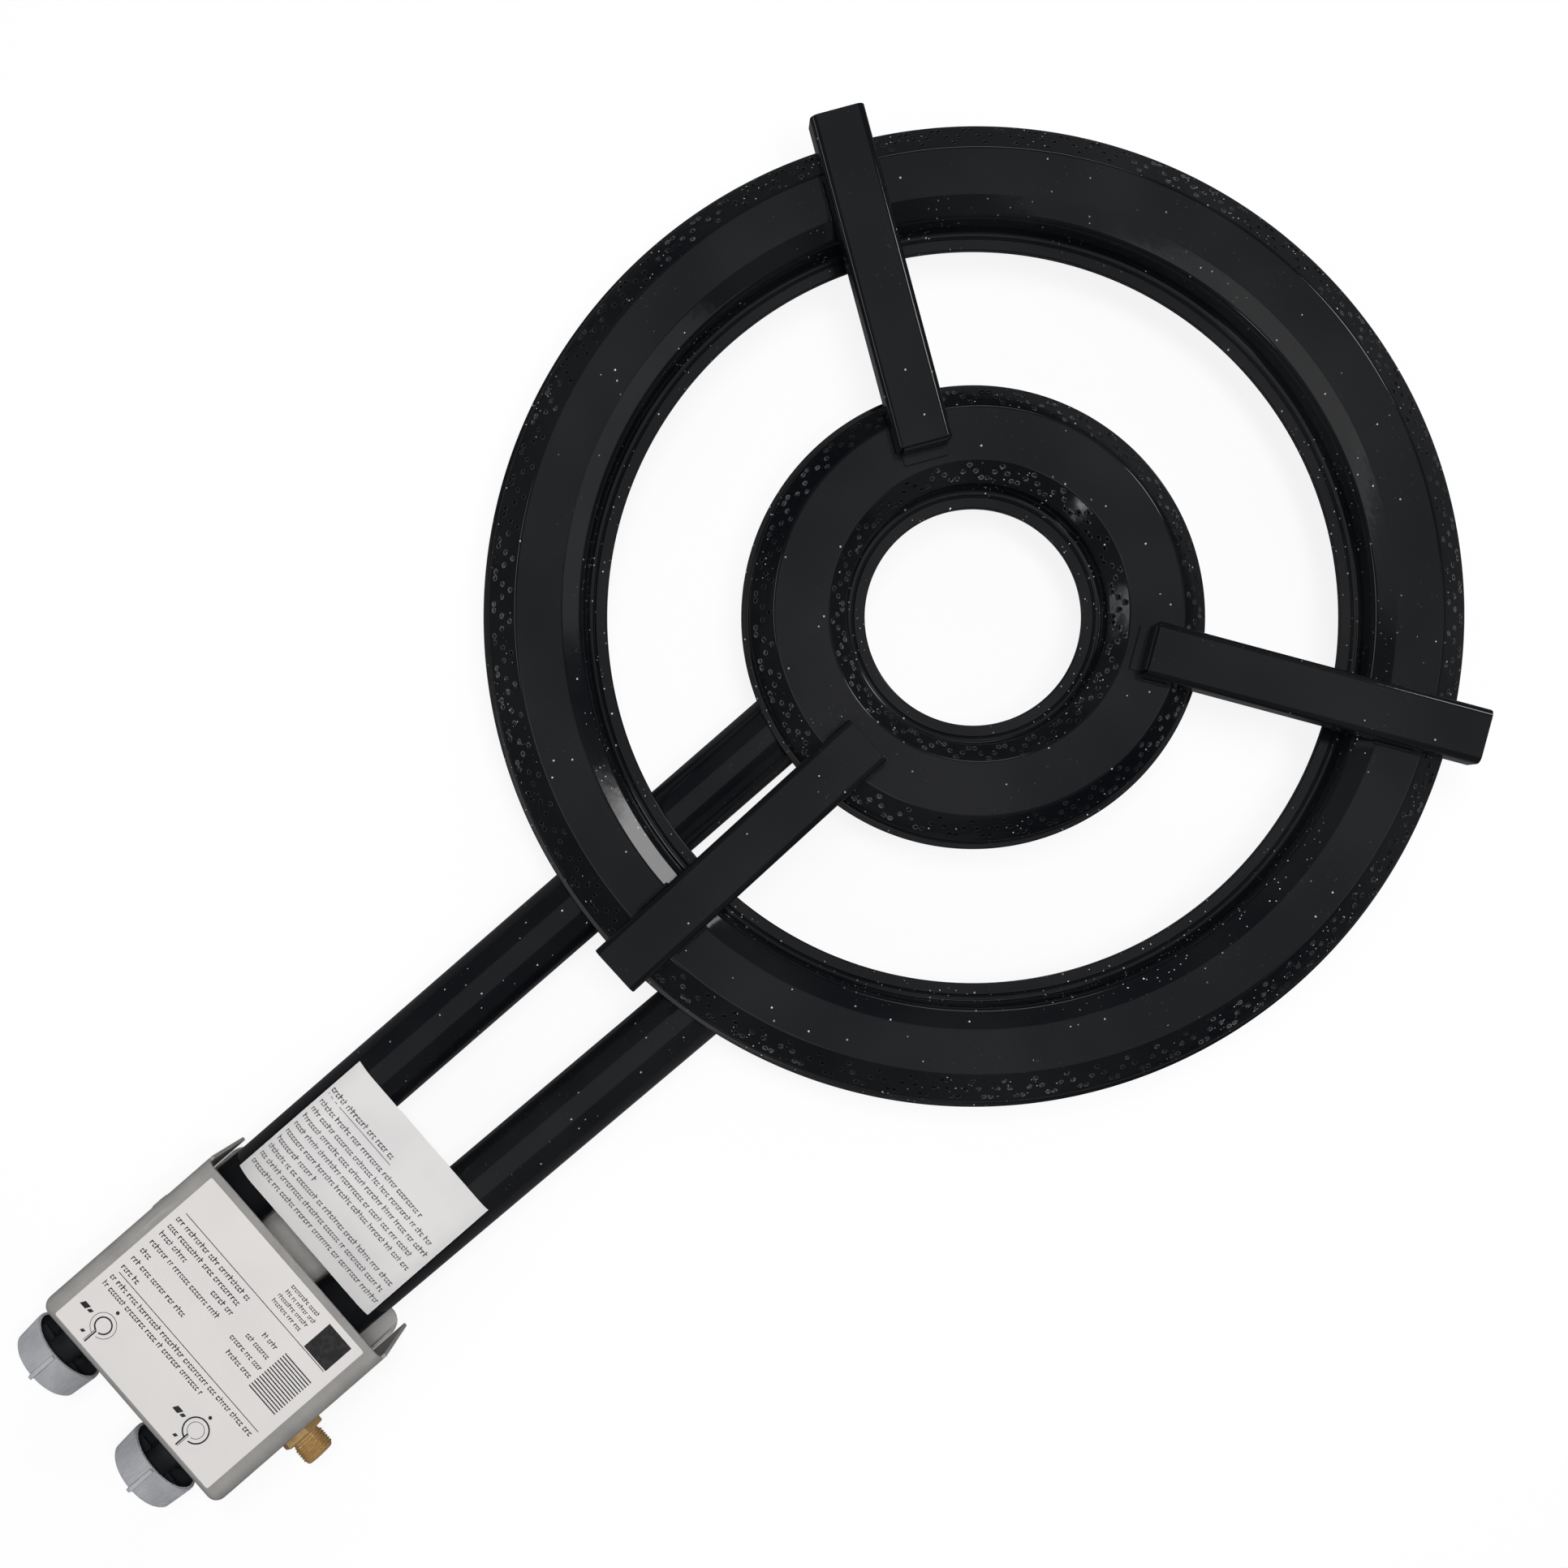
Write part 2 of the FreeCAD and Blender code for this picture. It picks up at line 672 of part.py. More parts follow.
def housing_cover():
    """The bent cover: top, front and sides, open below and towards the rings."""
    outside = hood("cover_outside", "0", "0", "housing_bend", "housing_depth")
    inside = hood("cover_inside", "-overrun", "housing_sheet", "housing_bend + bend_gain",
                  "housing_depth + overrun")
    cutters = [inside]
    for tap in ("inner", "outer"):
        cutters.append(bar(
            tap + "_neck_hole", PIPE_SIDES, "neck_hole_radius", "housing_sheet + 2 * overrun",
            (tap + "_tube_across - housing_across", "housing_sheet + overrun", "tube_axis_height"), TO_FRONT,
        ))
    cutters.append(bar(
        "inlet_hole", PIPE_SIDES, "inlet_hole_radius", "housing_sheet + 2 * overrun",
        ("housing_width / 2 - housing_sheet - overrun", "tap_cross_setback", "tube_axis_height"), TO_RIGHT,
    ))
    cutters.append(bar(
        "cover_screw_holes", SCREW_SIDES, "screw_hole_radius", "housing_width + 2 * overrun",
        ("-housing_width / 2 - overrun", "screw_inset", "screw_height"), TO_RIGHT,
    ))
    cover = keep(cut("cover_cut", outside, cutters), "housing_cover")
    place(cover, "housing_across", "panel_y", "0")


def housing_base():
    """The tray that closes the cover from below, with a flange up each side."""
    body = new_body("housing_base")
    section = new_sketch(body, "XZ_Plane", "base_section", "-base_rear")
    inner = "(base_half_width - housing_sheet)"
    draw_outline(section, [
        ("-base_half_width", "0"),
        ("base_half_width", "0"),
        ("base_half_width", "base_flange"),
        (inner, "base_flange"),
        (inner, "housing_sheet"),
        ("-" + inner, "housing_sheet"),
        ("-" + inner, "base_flange"),
        ("-base_half_width", "base_flange"),
    ])
    pad(body, section, "base_rear - base_front")
    corners = new_sketch(body, "XY_Plane", "base_corners", "base_flange + overrun")
    for sign in ("-", ""):
        draw_outline(corners, [
            (sign + "(base_half_width - base_corner - overrun)", "base_front - overrun"),
            (sign + "(base_half_width + overrun)", "base_front - overrun"),
            (sign + "(base_half_width + overrun)", "base_front + base_corner + overrun"),
        ])
        draw_outline(corners, [
            (sign + "(base_half_width - base_corner - overrun)", "base_rear + overrun"),
            (sign + "(base_half_width + overrun)", "base_rear + overrun"),
            (sign + "(base_half_width + overrun)", "base_rear - base_corner - overrun"),
        ])
    pocket(body, corners, "base_flange + 2 * overrun")

    screws = new_sketch(body, "YZ_Plane", "base_screw_holes", "base_half_width + overrun")
    draw_polygon(screws, SCREW_SIDES, "screw_hole_radius", "screw_inset", "screw_height")
    pocket(body, screws, "2 * (base_half_width + overrun)")
    hole = new_sketch(body, "XY_Plane", "base_cradle_hole", "housing_sheet + overrun")
    draw_polygon(hole, SCREW_SIDES, "screw_hole_radius", "0", "cradle_setback - cradle_foot / 2")
    pocket(body, hole, "housing_sheet + 2 * overrun")
    place(body, "housing_across", "panel_y", "0")


def screw(name, at, turn):
    """A hexagon-head screw, its head on the face at the given point."""
    head = hexagon(name + "_head", "screw_head_width", "screw_head_height")
    shank = hexagon(name + "_shank", "screw_shank_width", "screw_length", ("0", "0", "-screw_length"))
    whole = fuse(name, [head, shank])
    place(whole, at[0], at[1], at[2], turn)
    return whole


def housing_screws():
    """The two screws that hold the cover to the base, one on each side."""
    group = []
    for side, sign in (("right", 1), ("left", -1)):
        across = "%d * housing_width / 2" % sign
        turn = FreeCAD.Rotation(ALONG_Y, 90 * sign)
        group.append(screw("cover_screw_" + side, (across, "screw_inset", "screw_height"), turn))
    compound = doc.addObject("Part::Compound", "housing_screws_group")
    compound.Links = group
    doc.recompute()
    keep(compound, "housing_screws")
    place(compound, "housing_across", "panel_y", "0")


def cradle_screw():
    """The screw that holds the cradle to the base, from inside."""
    head = hexagon("cradle_screw_head", "screw_head_width", "screw_head_height")
    depth = "cradle_sheet + housing_sheet"
    shank = hexagon("cradle_screw_shank", "screw_shank_width", depth, ("0", "0", "-(%s)" % depth))
    whole = keep(fuse("cradle_screw_whole", [head, shank]), "cradle_screw")
    along = "panel_y + cradle_setback - cradle_foot / 2"
    place(whole, "housing_across", along, "housing_sheet + cradle_sheet")


# The taps. Each piece's own Z runs along the tap towards the front, from the panel's outer face.


def place_on_tap(thing, tap):
    place(thing, tap + "_tube_across", "panel_y", "tube_axis_height", TO_FRONT)


def tap_body(tap):
    """The brass block with its bore for the plug and the spring, and its side bosses."""
    length = "tap_block_rear - tap_block_front"
    half = "tap_block_width / 2"
    rear = "-tap_block_rear"
    block = box(tap + "_block", "tap_block_width", "tap_block_width", length,
                ("-" + half, "-" + half, rear))
    left_reach = "tap_boss_reach" if tap == "outer" else "0"
    boss = hexagon(tap + "_boss", "tap_boss_width", "tap_boss_reach + " + left_reach,
                   ("-" + left_reach, "0", "-tap_cross_setback"), TO_RIGHT)
    whole = fuse(tap + "_tap_solid", [block, boss])
    bore = cylinder(tap + "_bore", "plug_radius + plug_clearance",
                    "plug_front - plug_rear + plug_front_setback - tap_block_front + overrun",
                    ("0", "0", "plug_rear - plug_clearance"))
    body = keep(cut(tap + "_tap_block", whole, [bore]), tap + "_tap_body")
    place_on_tap(body, tap)


def tap_bonnet(tap):
    """The plate and threaded neck that close the tap and guide its spindle."""
    half = "tap_block_width / 2"
    plate = box(tap + "_plate", "tap_block_width", "tap_block_width", "tap_block_front - housing_sheet",
                ("-" + half, "-" + half, "-tap_block_front"))
    neck = bar(tap + "_neck", PIPE_SIDES, "neck_radius", "neck_reach + tap_block_front",
               ("0", "0", "-tap_block_front"))
    guide = cylinder(tap + "_guide", "spindle_radius + spindle_clearance",
                     "neck_reach + tap_block_front + 2 * overrun", ("0", "0", "-tap_block_front - overrun"))
    whole = fuse(tap + "_bonnet_solid", [plate, neck])
    place_on_tap(keep(cut(tap + "_bonnet", whole, [guide]), tap + "_tap_bonnet"), tap)


def tap_plug(tap):
    """The plug that turns in its bore, slotted in front for the spindle."""
    barrel = cylinder(tap + "_barrel", "plug_radius", "plug_front - plug_rear", ("0", "0", "plug_rear"))
    slot = box(tap + "_slot", "2 * (plug_radius + overrun)", "slot_width", "slot_depth + overrun",
               ("-plug_radius - overrun", "-slot_width / 2", "plug_front - slot_depth"))
    place_on_tap(keep(cut(tap + "_plug", barrel, [slot]), tap + "_tap_plug"), tap)


def spindle(tap):
    """The stem: a tang in the plug, a collar under the bonnet and a flat for the knob."""
    stem = cylinder(tap + "_stem", "spindle_radius", "spindle_reach - stem_rear", ("0", "0", "stem_rear"))
    tang = box(tap + "_tang", "2 * spindle_radius", "tang_width", "tang_length + stem_rear - plug_front",
               ("-spindle_radius", "-tang_width / 2", "plug_front - tang_length"))
    collar = hexagon(tap + "_collar", "collar_width", "collar_thickness", ("0", "0", "collar_rear"))
    flat = box(tap + "_flat", "2 * spindle_radius", "spindle_radius", "spindle_flat_length + overrun",
               ("-spindle_radius", "spindle_flat", "flat_start"))
    turned = fuse(tap + "_turned", [stem, collar, tang])
    whole = keep(cut(tap + "_spindle_whole", turned, [flat]), tap + "_spindle")
    place_on_tap(whole, tap)


def return_spring(tap):
    """The spring between the plug and the spindle's collar, kept to the tube that it fills."""
    length = "collar_rear - plug_front"
    outside = bar(tap + "_spring_outside", PIPE_SIDES, "spring_radius", length, ("0", "0", "plug_front"))
    inside = bar(tap + "_spring_inside", PIPE_SIDES, "spring_radius - spring_wire", length + " + 2 * overrun",
                 ("0", "0", "plug_front - overrun"))
    place_on_tap(keep(cut(tap + "_spring", outside, [inside]), tap + "_return_spring"), tap)


def panel_nuts():
    """The nuts on the two necks, which clamp the panel against the bonnets."""
    pair = []
    for tap in ("inner", "outer"):
        nut = hexagon(tap + "_nut_hexagon", "panel_nut_width", "panel_nut_height")
        hole = bar(tap + "_nut_hole", PIPE_SIDES, "(neck_radius + thread_clearance) / cos(15 deg)",
                   "panel_nut_height + 2 * overrun", ("0", "0", "-overrun"))
        whole = cut(tap + "_nut", nut, [hole])
        place(whole, tap + "_tube_across", "0", "0")
        pair.append(whole)
    group = doc.addObject("Part::Compound", "panel_nuts_group")
    group.Links = pair
    doc.recompute()
    place(keep(group, "panel_nuts"), "0", "panel_y", "tube_axis_height", TO_FRONT)


def injector(tap):
    """The brass nozzle that shoots the gas into the mixing tube."""
    head = hexagon(tap + "_injector_head", "injector_width", "injector_head",
                   ("0", "0", "injector_seat - injector_head"))
    tip = bar(tap + "_injector_tip", PIPE_SIDES, "injector_tip_radius", "injector_tip_length",
              ("0", "0", "injector_seat - injector_head - injector_tip_length"))
    jet = bar(tap + "_injector_jet", SCREW_SIDES, "injector_jet_radius",
              "injector_head + injector_tip_length + 2 * overrun",
              ("0", "0", "injector_seat - injector_head - injector_tip_length - overrun"))
    whole = fuse(tap + "_injector_solid", [head, tip])
    place_on_tap(keep(cut(tap + "_injector_bored", whole, [jet]), tap + "_injector"), tap)


def knob(tap):
    """The ribbed knob: hollow behind, with a hub, a pointer rib and a nib at the front."""
    outside = bar(tap + "_knob_outside", KNOB_SIDES, "knob_radius", "knob_length - knob_face_drop",
                  ("0", "0", "knob_rear"))
    face = bar(tap + "_knob_face", KNOB_SIDES, "knob_face_radius", "knob_face_drop",
               ("0", "0", "knob_front - knob_face_drop"))
    hollow = bar(tap + "_knob_hollow", PIPE_SIDES, "knob_radius - knob_wall",
                 "knob_length - knob_face_drop - knob_wall + overrun", ("0", "0", "knob_rear - overrun"))
    cup = cut(tap + "_knob_cup", outside, [hollow])
    hub = bar(tap + "_hub", PIPE_SIDES, "knob_hub_radius", "knob_front - hub_rear - knob_face_drop",
              ("0", "0", "hub_rear"))
    pointer = box(tap + "_pointer", "pointer_width", "pointer_height + knob_wall / 2",
                  "knob_length - knob_face_drop",
                  ("-pointer_width / 2", "knob_radius - knob_wall / 2", "knob_rear"))
    nib = box(tap + "_nib", "pointer_width", "nib_height", "nib_length + knob_wall",
              ("-pointer_width / 2", "knob_face_radius - nib_height", "knob_front - knob_wall"))
    socket = bar(tap + "_socket", PIPE_SIDES, "(spindle_radius + knob_socket_clearance) / cos(15 deg)",
                 "spindle_reach - hub_rear + knob_socket_clearance + overrun",
                 ("0", "0", "hub_rear - overrun"))
    key = box(tap + "_key", "2 * spindle_radius + overrun", "spindle_radius",
              "spindle_reach - flat_start",
              ("-spindle_radius - overrun / 2", "spindle_flat + knob_socket_clearance", "flat_start"))
    hole = cut(tap + "_socket_with_flat", socket, [key])
    solid = fuse(tap + "_knob_solid", [cup, face, hub, pointer, nib])
    place_on_tap(keep(cut(tap + "_knob_whole", solid, [hole]), tap + "_knob"), tap)


def link_pipe():
    """The pipe that takes the gas from the outer tap to the inner one."""
    run = "tube_spacing - 2 * tap_boss_reach"
    pipe = keep(bar("link_outside", PIPE_SIDES, "link_pipe_radius", run), "link_pipe")
    place(pipe, "inner_tube_across + tap_boss_reach", "panel_y + tap_cross_setback",
          "tube_axis_height", TO_RIGHT)


def gas_inlet():
    """The brass inlet: its neck on the outer tap, its collar on the housing, its thread outside."""
    neck_length = "housing_right - outer_tube_across - tap_boss_reach"
    neck = bar("inlet_neck", PIPE_SIDES, "inlet_neck_radius", neck_length, ("0", "0", "-(%s)" % neck_length))
    collar = hexagon("inlet_collar", "inlet_collar_width", "inlet_collar_length")
    thread = cylinder("inlet_thread", "inlet_thread_radius", "inlet_thread_length",
                      ("0", "0", "inlet_collar_length"))
    mouth = bar("inlet_mouth", PIPE_SIDES, "inlet_bore_radius", "inlet_thread_length + overrun",
                ("0", "0", "inlet_collar_length"))
    whole = keep(cut("inlet_bored", fuse("inlet_solid", [neck, collar, thread]), [mouth]), "gas_inlet")
    place(whole, "housing_right", "panel_y + tap_cross_setback", "tube_axis_height", TO_RIGHT)


def inlet_nut():
    """The nut inside the housing that clamps the inlet to the cover."""
    nut = hexagon("inlet_nut_hexagon", "inlet_nut_width", "inlet_nut_height")
    hole = bar("inlet_nut_hole", PIPE_SIDES, "(inlet_neck_radius + thread_clearance) / cos(15 deg)",
               "inlet_nut_height + 2 * overrun", ("0", "0", "-overrun"))
    whole = keep(cut("inlet_nut_bored", nut, [hole]), "inlet_lock_nut")
    place(whole, "housing_right - housing_sheet - inlet_nut_height",
          "panel_y + tap_cross_setback", "tube_axis_height", TO_RIGHT)


# The paper sheet


def instruction_sheet():
    """The paper sheet that lies over both tubes and curls down at its two ends."""
    body = new_body("instruction_sheet")
    section = new_sketch(body, "XZ_Plane", "paper_section")
    under = "(tube_radius + paper_gap)"
    over = "(tube_radius + paper_gap + paper_thickness)"
    left = "inner_tube_across"
    right = "paper_right_across"
    rise = "tube_axis_height"
    left_drop = "paper_left_reach / tube_radius"
    right_drop = "paper_right_reach / tube_radius"

    def edge_point(centre, radius, share, sign):
        across = "%s %s %s * sin(1 rad * %s)" % (centre, sign, radius, share)
        return across, "%s + %s * cos(1 rad * %s)" % (rise, radius, share)

    draw_outline(section, [
        edge_point(left, under, left_drop, "-"),
        edge_point(left, under, left_drop + " / 2", "-"),
        (left, rise + " + " + under),
        (right, rise + " + " + under),
        edge_point(right, under, right_drop + " / 2", "+"),
        edge_point(right, under, right_drop, "+"),
        edge_point(right, over, right_drop, "+"),
        edge_point(right, over, right_drop + " / 2", "+"),
        (right, rise + " + " + over),
        (left, rise + " + " + over),
        edge_point(left, over, left_drop + " / 2", "-"),
        edge_point(left, over, left_drop, "-"),
    ])
    pad(body, section, "paper_length")
    place(body, "0", "panel_y + paper_setback + paper_length", "0")


def write_parts():
    """Check every object, then write each node to its own file."""
    for thing in doc.Objects:
        if "Invalid" in thing.State or "Error" in thing.State:
            raise RuntimeError("%s failed: %s" % (thing.Name, thing.State))
    for node in nodes:
        shape = node.Shape
        if shape.isNull() or not shape.isValid() or not shape.Solids:
            raise RuntimeError("%s has no valid shape" % node.Label)
    os.makedirs("parts", exist_ok=True)
    for node in nodes:
        node.Shape.exportStep(os.path.join("parts", node.Label + ".step"))


fill_sheet()
outer_ring_top_shell()
inner_ring_top_shell()
for ring in ("inner", "outer"):
    ring_base_plate(ring)
    mixing_tube(ring)
for side in ("left", "right", "handle"):
    support_arm(side)
tube_cradle()
cradle_screw()
housing_cover()
housing_base()
housing_screws()
for tap in ("inner", "outer"):
    tap_body(tap)
    tap_bonnet(tap)
    tap_plug(tap)
    spindle(tap)
    return_spring(tap)
    injector(tap)
    knob(tap)
panel_nuts()
link_pipe()
gas_inlet()
inlet_nut()
instruction_sheet()
doc.recompute()
write_parts()
print("%d nodes written" % len(nodes))
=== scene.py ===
"""Looks of the outdoor gas burner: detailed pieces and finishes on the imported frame.

All shapes are made in millimetres in the burner's own frame: the knobs point to -Y, the rings lie
at +Y, and z = 0 is the underside of the housing. They become metres when a piece is finished.
"""

import json
import logging
import math
import random
from dataclasses import dataclass, field
from enum import Enum
from typing import Callable, Iterable, Optional, Sequence, Union

import bmesh
import bpy
from mathutils import Matrix, Vector

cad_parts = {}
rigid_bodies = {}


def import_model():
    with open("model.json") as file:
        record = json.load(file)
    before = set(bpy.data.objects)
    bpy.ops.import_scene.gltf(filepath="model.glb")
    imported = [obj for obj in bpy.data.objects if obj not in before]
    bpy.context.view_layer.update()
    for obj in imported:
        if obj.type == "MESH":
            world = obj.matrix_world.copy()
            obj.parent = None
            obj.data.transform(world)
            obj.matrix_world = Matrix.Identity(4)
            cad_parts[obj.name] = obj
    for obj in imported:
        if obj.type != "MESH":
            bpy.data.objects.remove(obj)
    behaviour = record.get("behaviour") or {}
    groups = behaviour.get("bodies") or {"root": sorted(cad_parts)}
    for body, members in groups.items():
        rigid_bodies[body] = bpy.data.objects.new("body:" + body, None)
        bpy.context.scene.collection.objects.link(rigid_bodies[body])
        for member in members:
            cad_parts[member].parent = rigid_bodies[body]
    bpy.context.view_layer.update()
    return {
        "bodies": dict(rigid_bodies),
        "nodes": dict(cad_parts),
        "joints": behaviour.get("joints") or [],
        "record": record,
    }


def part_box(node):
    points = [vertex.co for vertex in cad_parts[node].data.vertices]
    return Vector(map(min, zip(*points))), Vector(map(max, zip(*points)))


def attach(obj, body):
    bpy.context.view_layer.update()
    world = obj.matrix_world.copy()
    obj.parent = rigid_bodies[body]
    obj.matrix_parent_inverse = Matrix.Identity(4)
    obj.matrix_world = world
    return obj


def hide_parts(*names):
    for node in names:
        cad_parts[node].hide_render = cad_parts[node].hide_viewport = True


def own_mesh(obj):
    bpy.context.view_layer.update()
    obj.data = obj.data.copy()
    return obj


LOG = logging.getLogger("burner")
MM = 0.001
RING_AXIS_Y = 140.75
PANEL_Y = -303.15
TUBE_HEIGHT = 21.0
RING_FLOOR = 36.7
RING_TOP = 56.0
ARM_TOP = 68.0
HOUSING_HEIGHT = 50.0

Point = tuple[float, float]
Colour = tuple[float, float, float]
Corner = tuple[float, float, float]


class Body(Enum):
    """The moving bodies of the frame."""

    FRAME = "burner_frame"
    INNER_TURN = "inner_tap_turn"
    INNER_PRESS = "inner_tap_press"
    OUTER_TURN = "outer_tap_turn"
    OUTER_PRESS = "outer_tap_press"


class Tap(Enum):
    """The two gas taps, by the ring that they feed."""

    INNER = "inner"
    OUTER = "outer"

    @property
    def turn_body(self) -> Body:
        """The body that turns with the knob."""
        return Body.INNER_TURN if self is Tap.INNER else Body.OUTER_TURN

    @property
    def press_body(self) -> Body:
        """The body that is pressed in with the knob."""
        return Body.INNER_PRESS if self is Tap.INNER else Body.OUTER_PRESS


# Shader tools


class Wire:
    """A shader socket that takes part in sums, so that shader maths reads as maths."""

    def __init__(self, graph: "Graph", socket: bpy.types.NodeSocket) -> None:
        """Keep the graph and the socket."""
        self.graph = graph
        self.socket = socket

    def combine(self, operation: str, other: "Value", swapped: bool = False) -> "Wire":
        """Put a Math node between this wire and another value.

        Args:
            operation: The Math node's operation.
            other: The second value, a number or a wire.
            swapped: True where the other value comes first.

        Returns:
            The result's wire.
        """
        first, second = (other, self) if swapped else (self, other)
        return self.graph.wire("ShaderNodeMath", {"operation": operation}, {0: first, 1: second})

    def __add__(self, other: "Value") -> "Wire":
        """Sum."""
        return self.combine("ADD", other)

    def __radd__(self, other: "Value") -> "Wire":
        """Sum with a number first."""
        return self.combine("ADD", other, True)

    def __mul__(self, other: "Value") -> "Wire":
        """Product."""
        return self.combine("MULTIPLY", other)

    def __rmul__(self, other: "Value") -> "Wire":
        """Product with a number first."""
        return self.combine("MULTIPLY", other, True)

    def __gt__(self, other: "Value") -> "Wire":
        """One where this is greater, otherwise zero."""
        return self.combine("GREATER_THAN", other)

    def __lt__(self, other: "Value") -> "Wire":
        """One where this is less, otherwise zero."""
        return self.combine("LESS_THAN", other)


Value = Union[Wire, float, Sequence[float]]
Inputs = dict[Union[str, int], Value]
Settings = dict[str, object]


class Graph:
    """The node tree of a new material, or of a new world."""

    def __init__(self, name: str, world: bool = False) -> None:
        """Start an empty tree.

        Args:
            name: The material's or world's name.
            world: True for a world.
        """
        self.owner = (bpy.data.worlds if world else bpy.data.materials).new(name)
        self.owner.use_nodes = True
        self.tree = self.owner.node_tree
        self.tree.nodes.clear()

    def node(
        self, kind: str, settings: Optional[Settings] = None, inputs: Optional[Inputs] = None,
    ) -> bpy.types.Node:
        """Add one node.

        Args:
            kind: The node's type.
            settings: Its properties.
            inputs: Values or wires for its sockets.

        Returns:
            The node.
        """
        node = self.tree.nodes.new(kind)
        for key, setting in (settings or {}).items():
            setattr(node, key, setting)
        for key, value in (inputs or {}).items():
            if isinstance(value, Wire):
                self.tree.links.new(value.socket, node.inputs[key])
            else:
                node.inputs[key].default_value = value
        return node

    def wire(
        self, kind: str, settings: Optional[Settings] = None, inputs: Optional[Inputs] = None,
        output: Union[int, str] = 0,
    ) -> Wire:
        """Add one node and return the wire of one of its outputs."""
        return Wire(self, self.node(kind, settings, inputs).outputs[output])

    def coordinates(self, stretch: Sequence[float] = (1.0, 1.0, 1.0)) -> Wire:
        """Object coordinates in millimetres.

        Args:
            stretch: How much the coordinates run faster along each axis.

        Returns:
            The coordinates' wire.
        """
        place = self.wire("ShaderNodeTexCoord", output="Object")
        scale = tuple(share / MM for share in stretch)
        return self.wire("ShaderNodeMapping", None, {"Vector": place, "Scale": scale})

    def noise(self, place: Wire, size: float, detail: float = 2.0, roughness: float = 0.5) -> Wire:
        """Noise from 0 to 1.

        Args:
            place: Coordinates in millimetres.
            size: About how wide its lumps are, in millimetres.
            detail: How many finer layers it has.
            roughness: How strong the finer layers are.

        Returns:
            The noise's wire.
        """
        return self.wire(
            "ShaderNodeTexNoise", None,
            {"Vector": place, "Scale": 1.0 / size, "Detail": detail, "Roughness": roughness},
        )

    def ramp(self, value: Wire, low: float, high: float) -> Wire:
        """A soft step.

        Args:
            value: The wire that decides.
            low: The result is zero below this.
            high: The result is one above this.

        Returns:
            The step's wire.
        """
        settings = {"interpolation_type": "SMOOTHSTEP", "clamp": True}
        inputs = {"Value": value, "From Min": low, "From Max": high}
        return self.wire("ShaderNodeMapRange", settings, inputs)

    def blend(self, share: Value, first: Value, second: Value) -> Wire:
        """Mix two colours.

        Args:
            share: The second colour's share.
            first: The first colour.
            second: The second colour.

        Returns:
            The mixed colour's wire.
        """
        colours = [value if isinstance(value, Wire) else (*value, 1.0) for value in (first, second)]
        inputs = {0: share, 6: colours[0], 7: colours[1]}
        return self.wire("ShaderNodeMix", {"data_type": "RGBA"}, inputs, 2)

    def bump(self, height: Wire, depth: float) -> Wire:
        """A normal from a height, depth being the height's full range in millimetres."""
        return self.wire("ShaderNodeBump", None, {"Height": height, "Strength": 1.0, "Distance": depth * MM})

    def finish(self, inputs: Inputs) -> bpy.types.Material:
        """Close the graph with the usual surface shader.

        Args:
            inputs: Values or wires for the shader's sockets.

        Returns:
            The material.
        """
        shader = self.wire("ShaderNodeBsdfPrincipled", None, inputs)
        self.node("ShaderNodeOutputMaterial", None, {"Surface": shader})
        return self.owner


# Finishes: sizes in them are lump widths and depths in millimetres


@dataclass(frozen=True)
class Specks:
    """Round specks, one in each of some cells, of uneven brightness."""

    cell: float
    radius: float
    share: float = 0.55
    faintest: float = 0.12

    def mask(self, graph: Graph, place: Wire) -> Wire:
        """Lay the specks out.

        Args:
            graph: The material's graph.
            place: Coordinates in millimetres.

        Returns:
            Up to one on a speck, by its brightness, and zero elsewhere.
        """
        cells = graph.node("ShaderNodeTexVoronoi", None, {"Vector": place, "Scale": 1.0 / self.cell})
        distance = Wire(graph, cells.outputs["Distance"])
        chances = graph.node("ShaderNodeSeparateColor", None, {0: Wire(graph, cells.outputs["Color"])})
        chosen = Wire(graph, chances.outputs[0]) < self.share
        brightness = self.faintest + (1.0 - self.faintest) * Wire(graph, chances.outputs[1])
        return (distance < self.radius / self.cell) * chosen * brightness


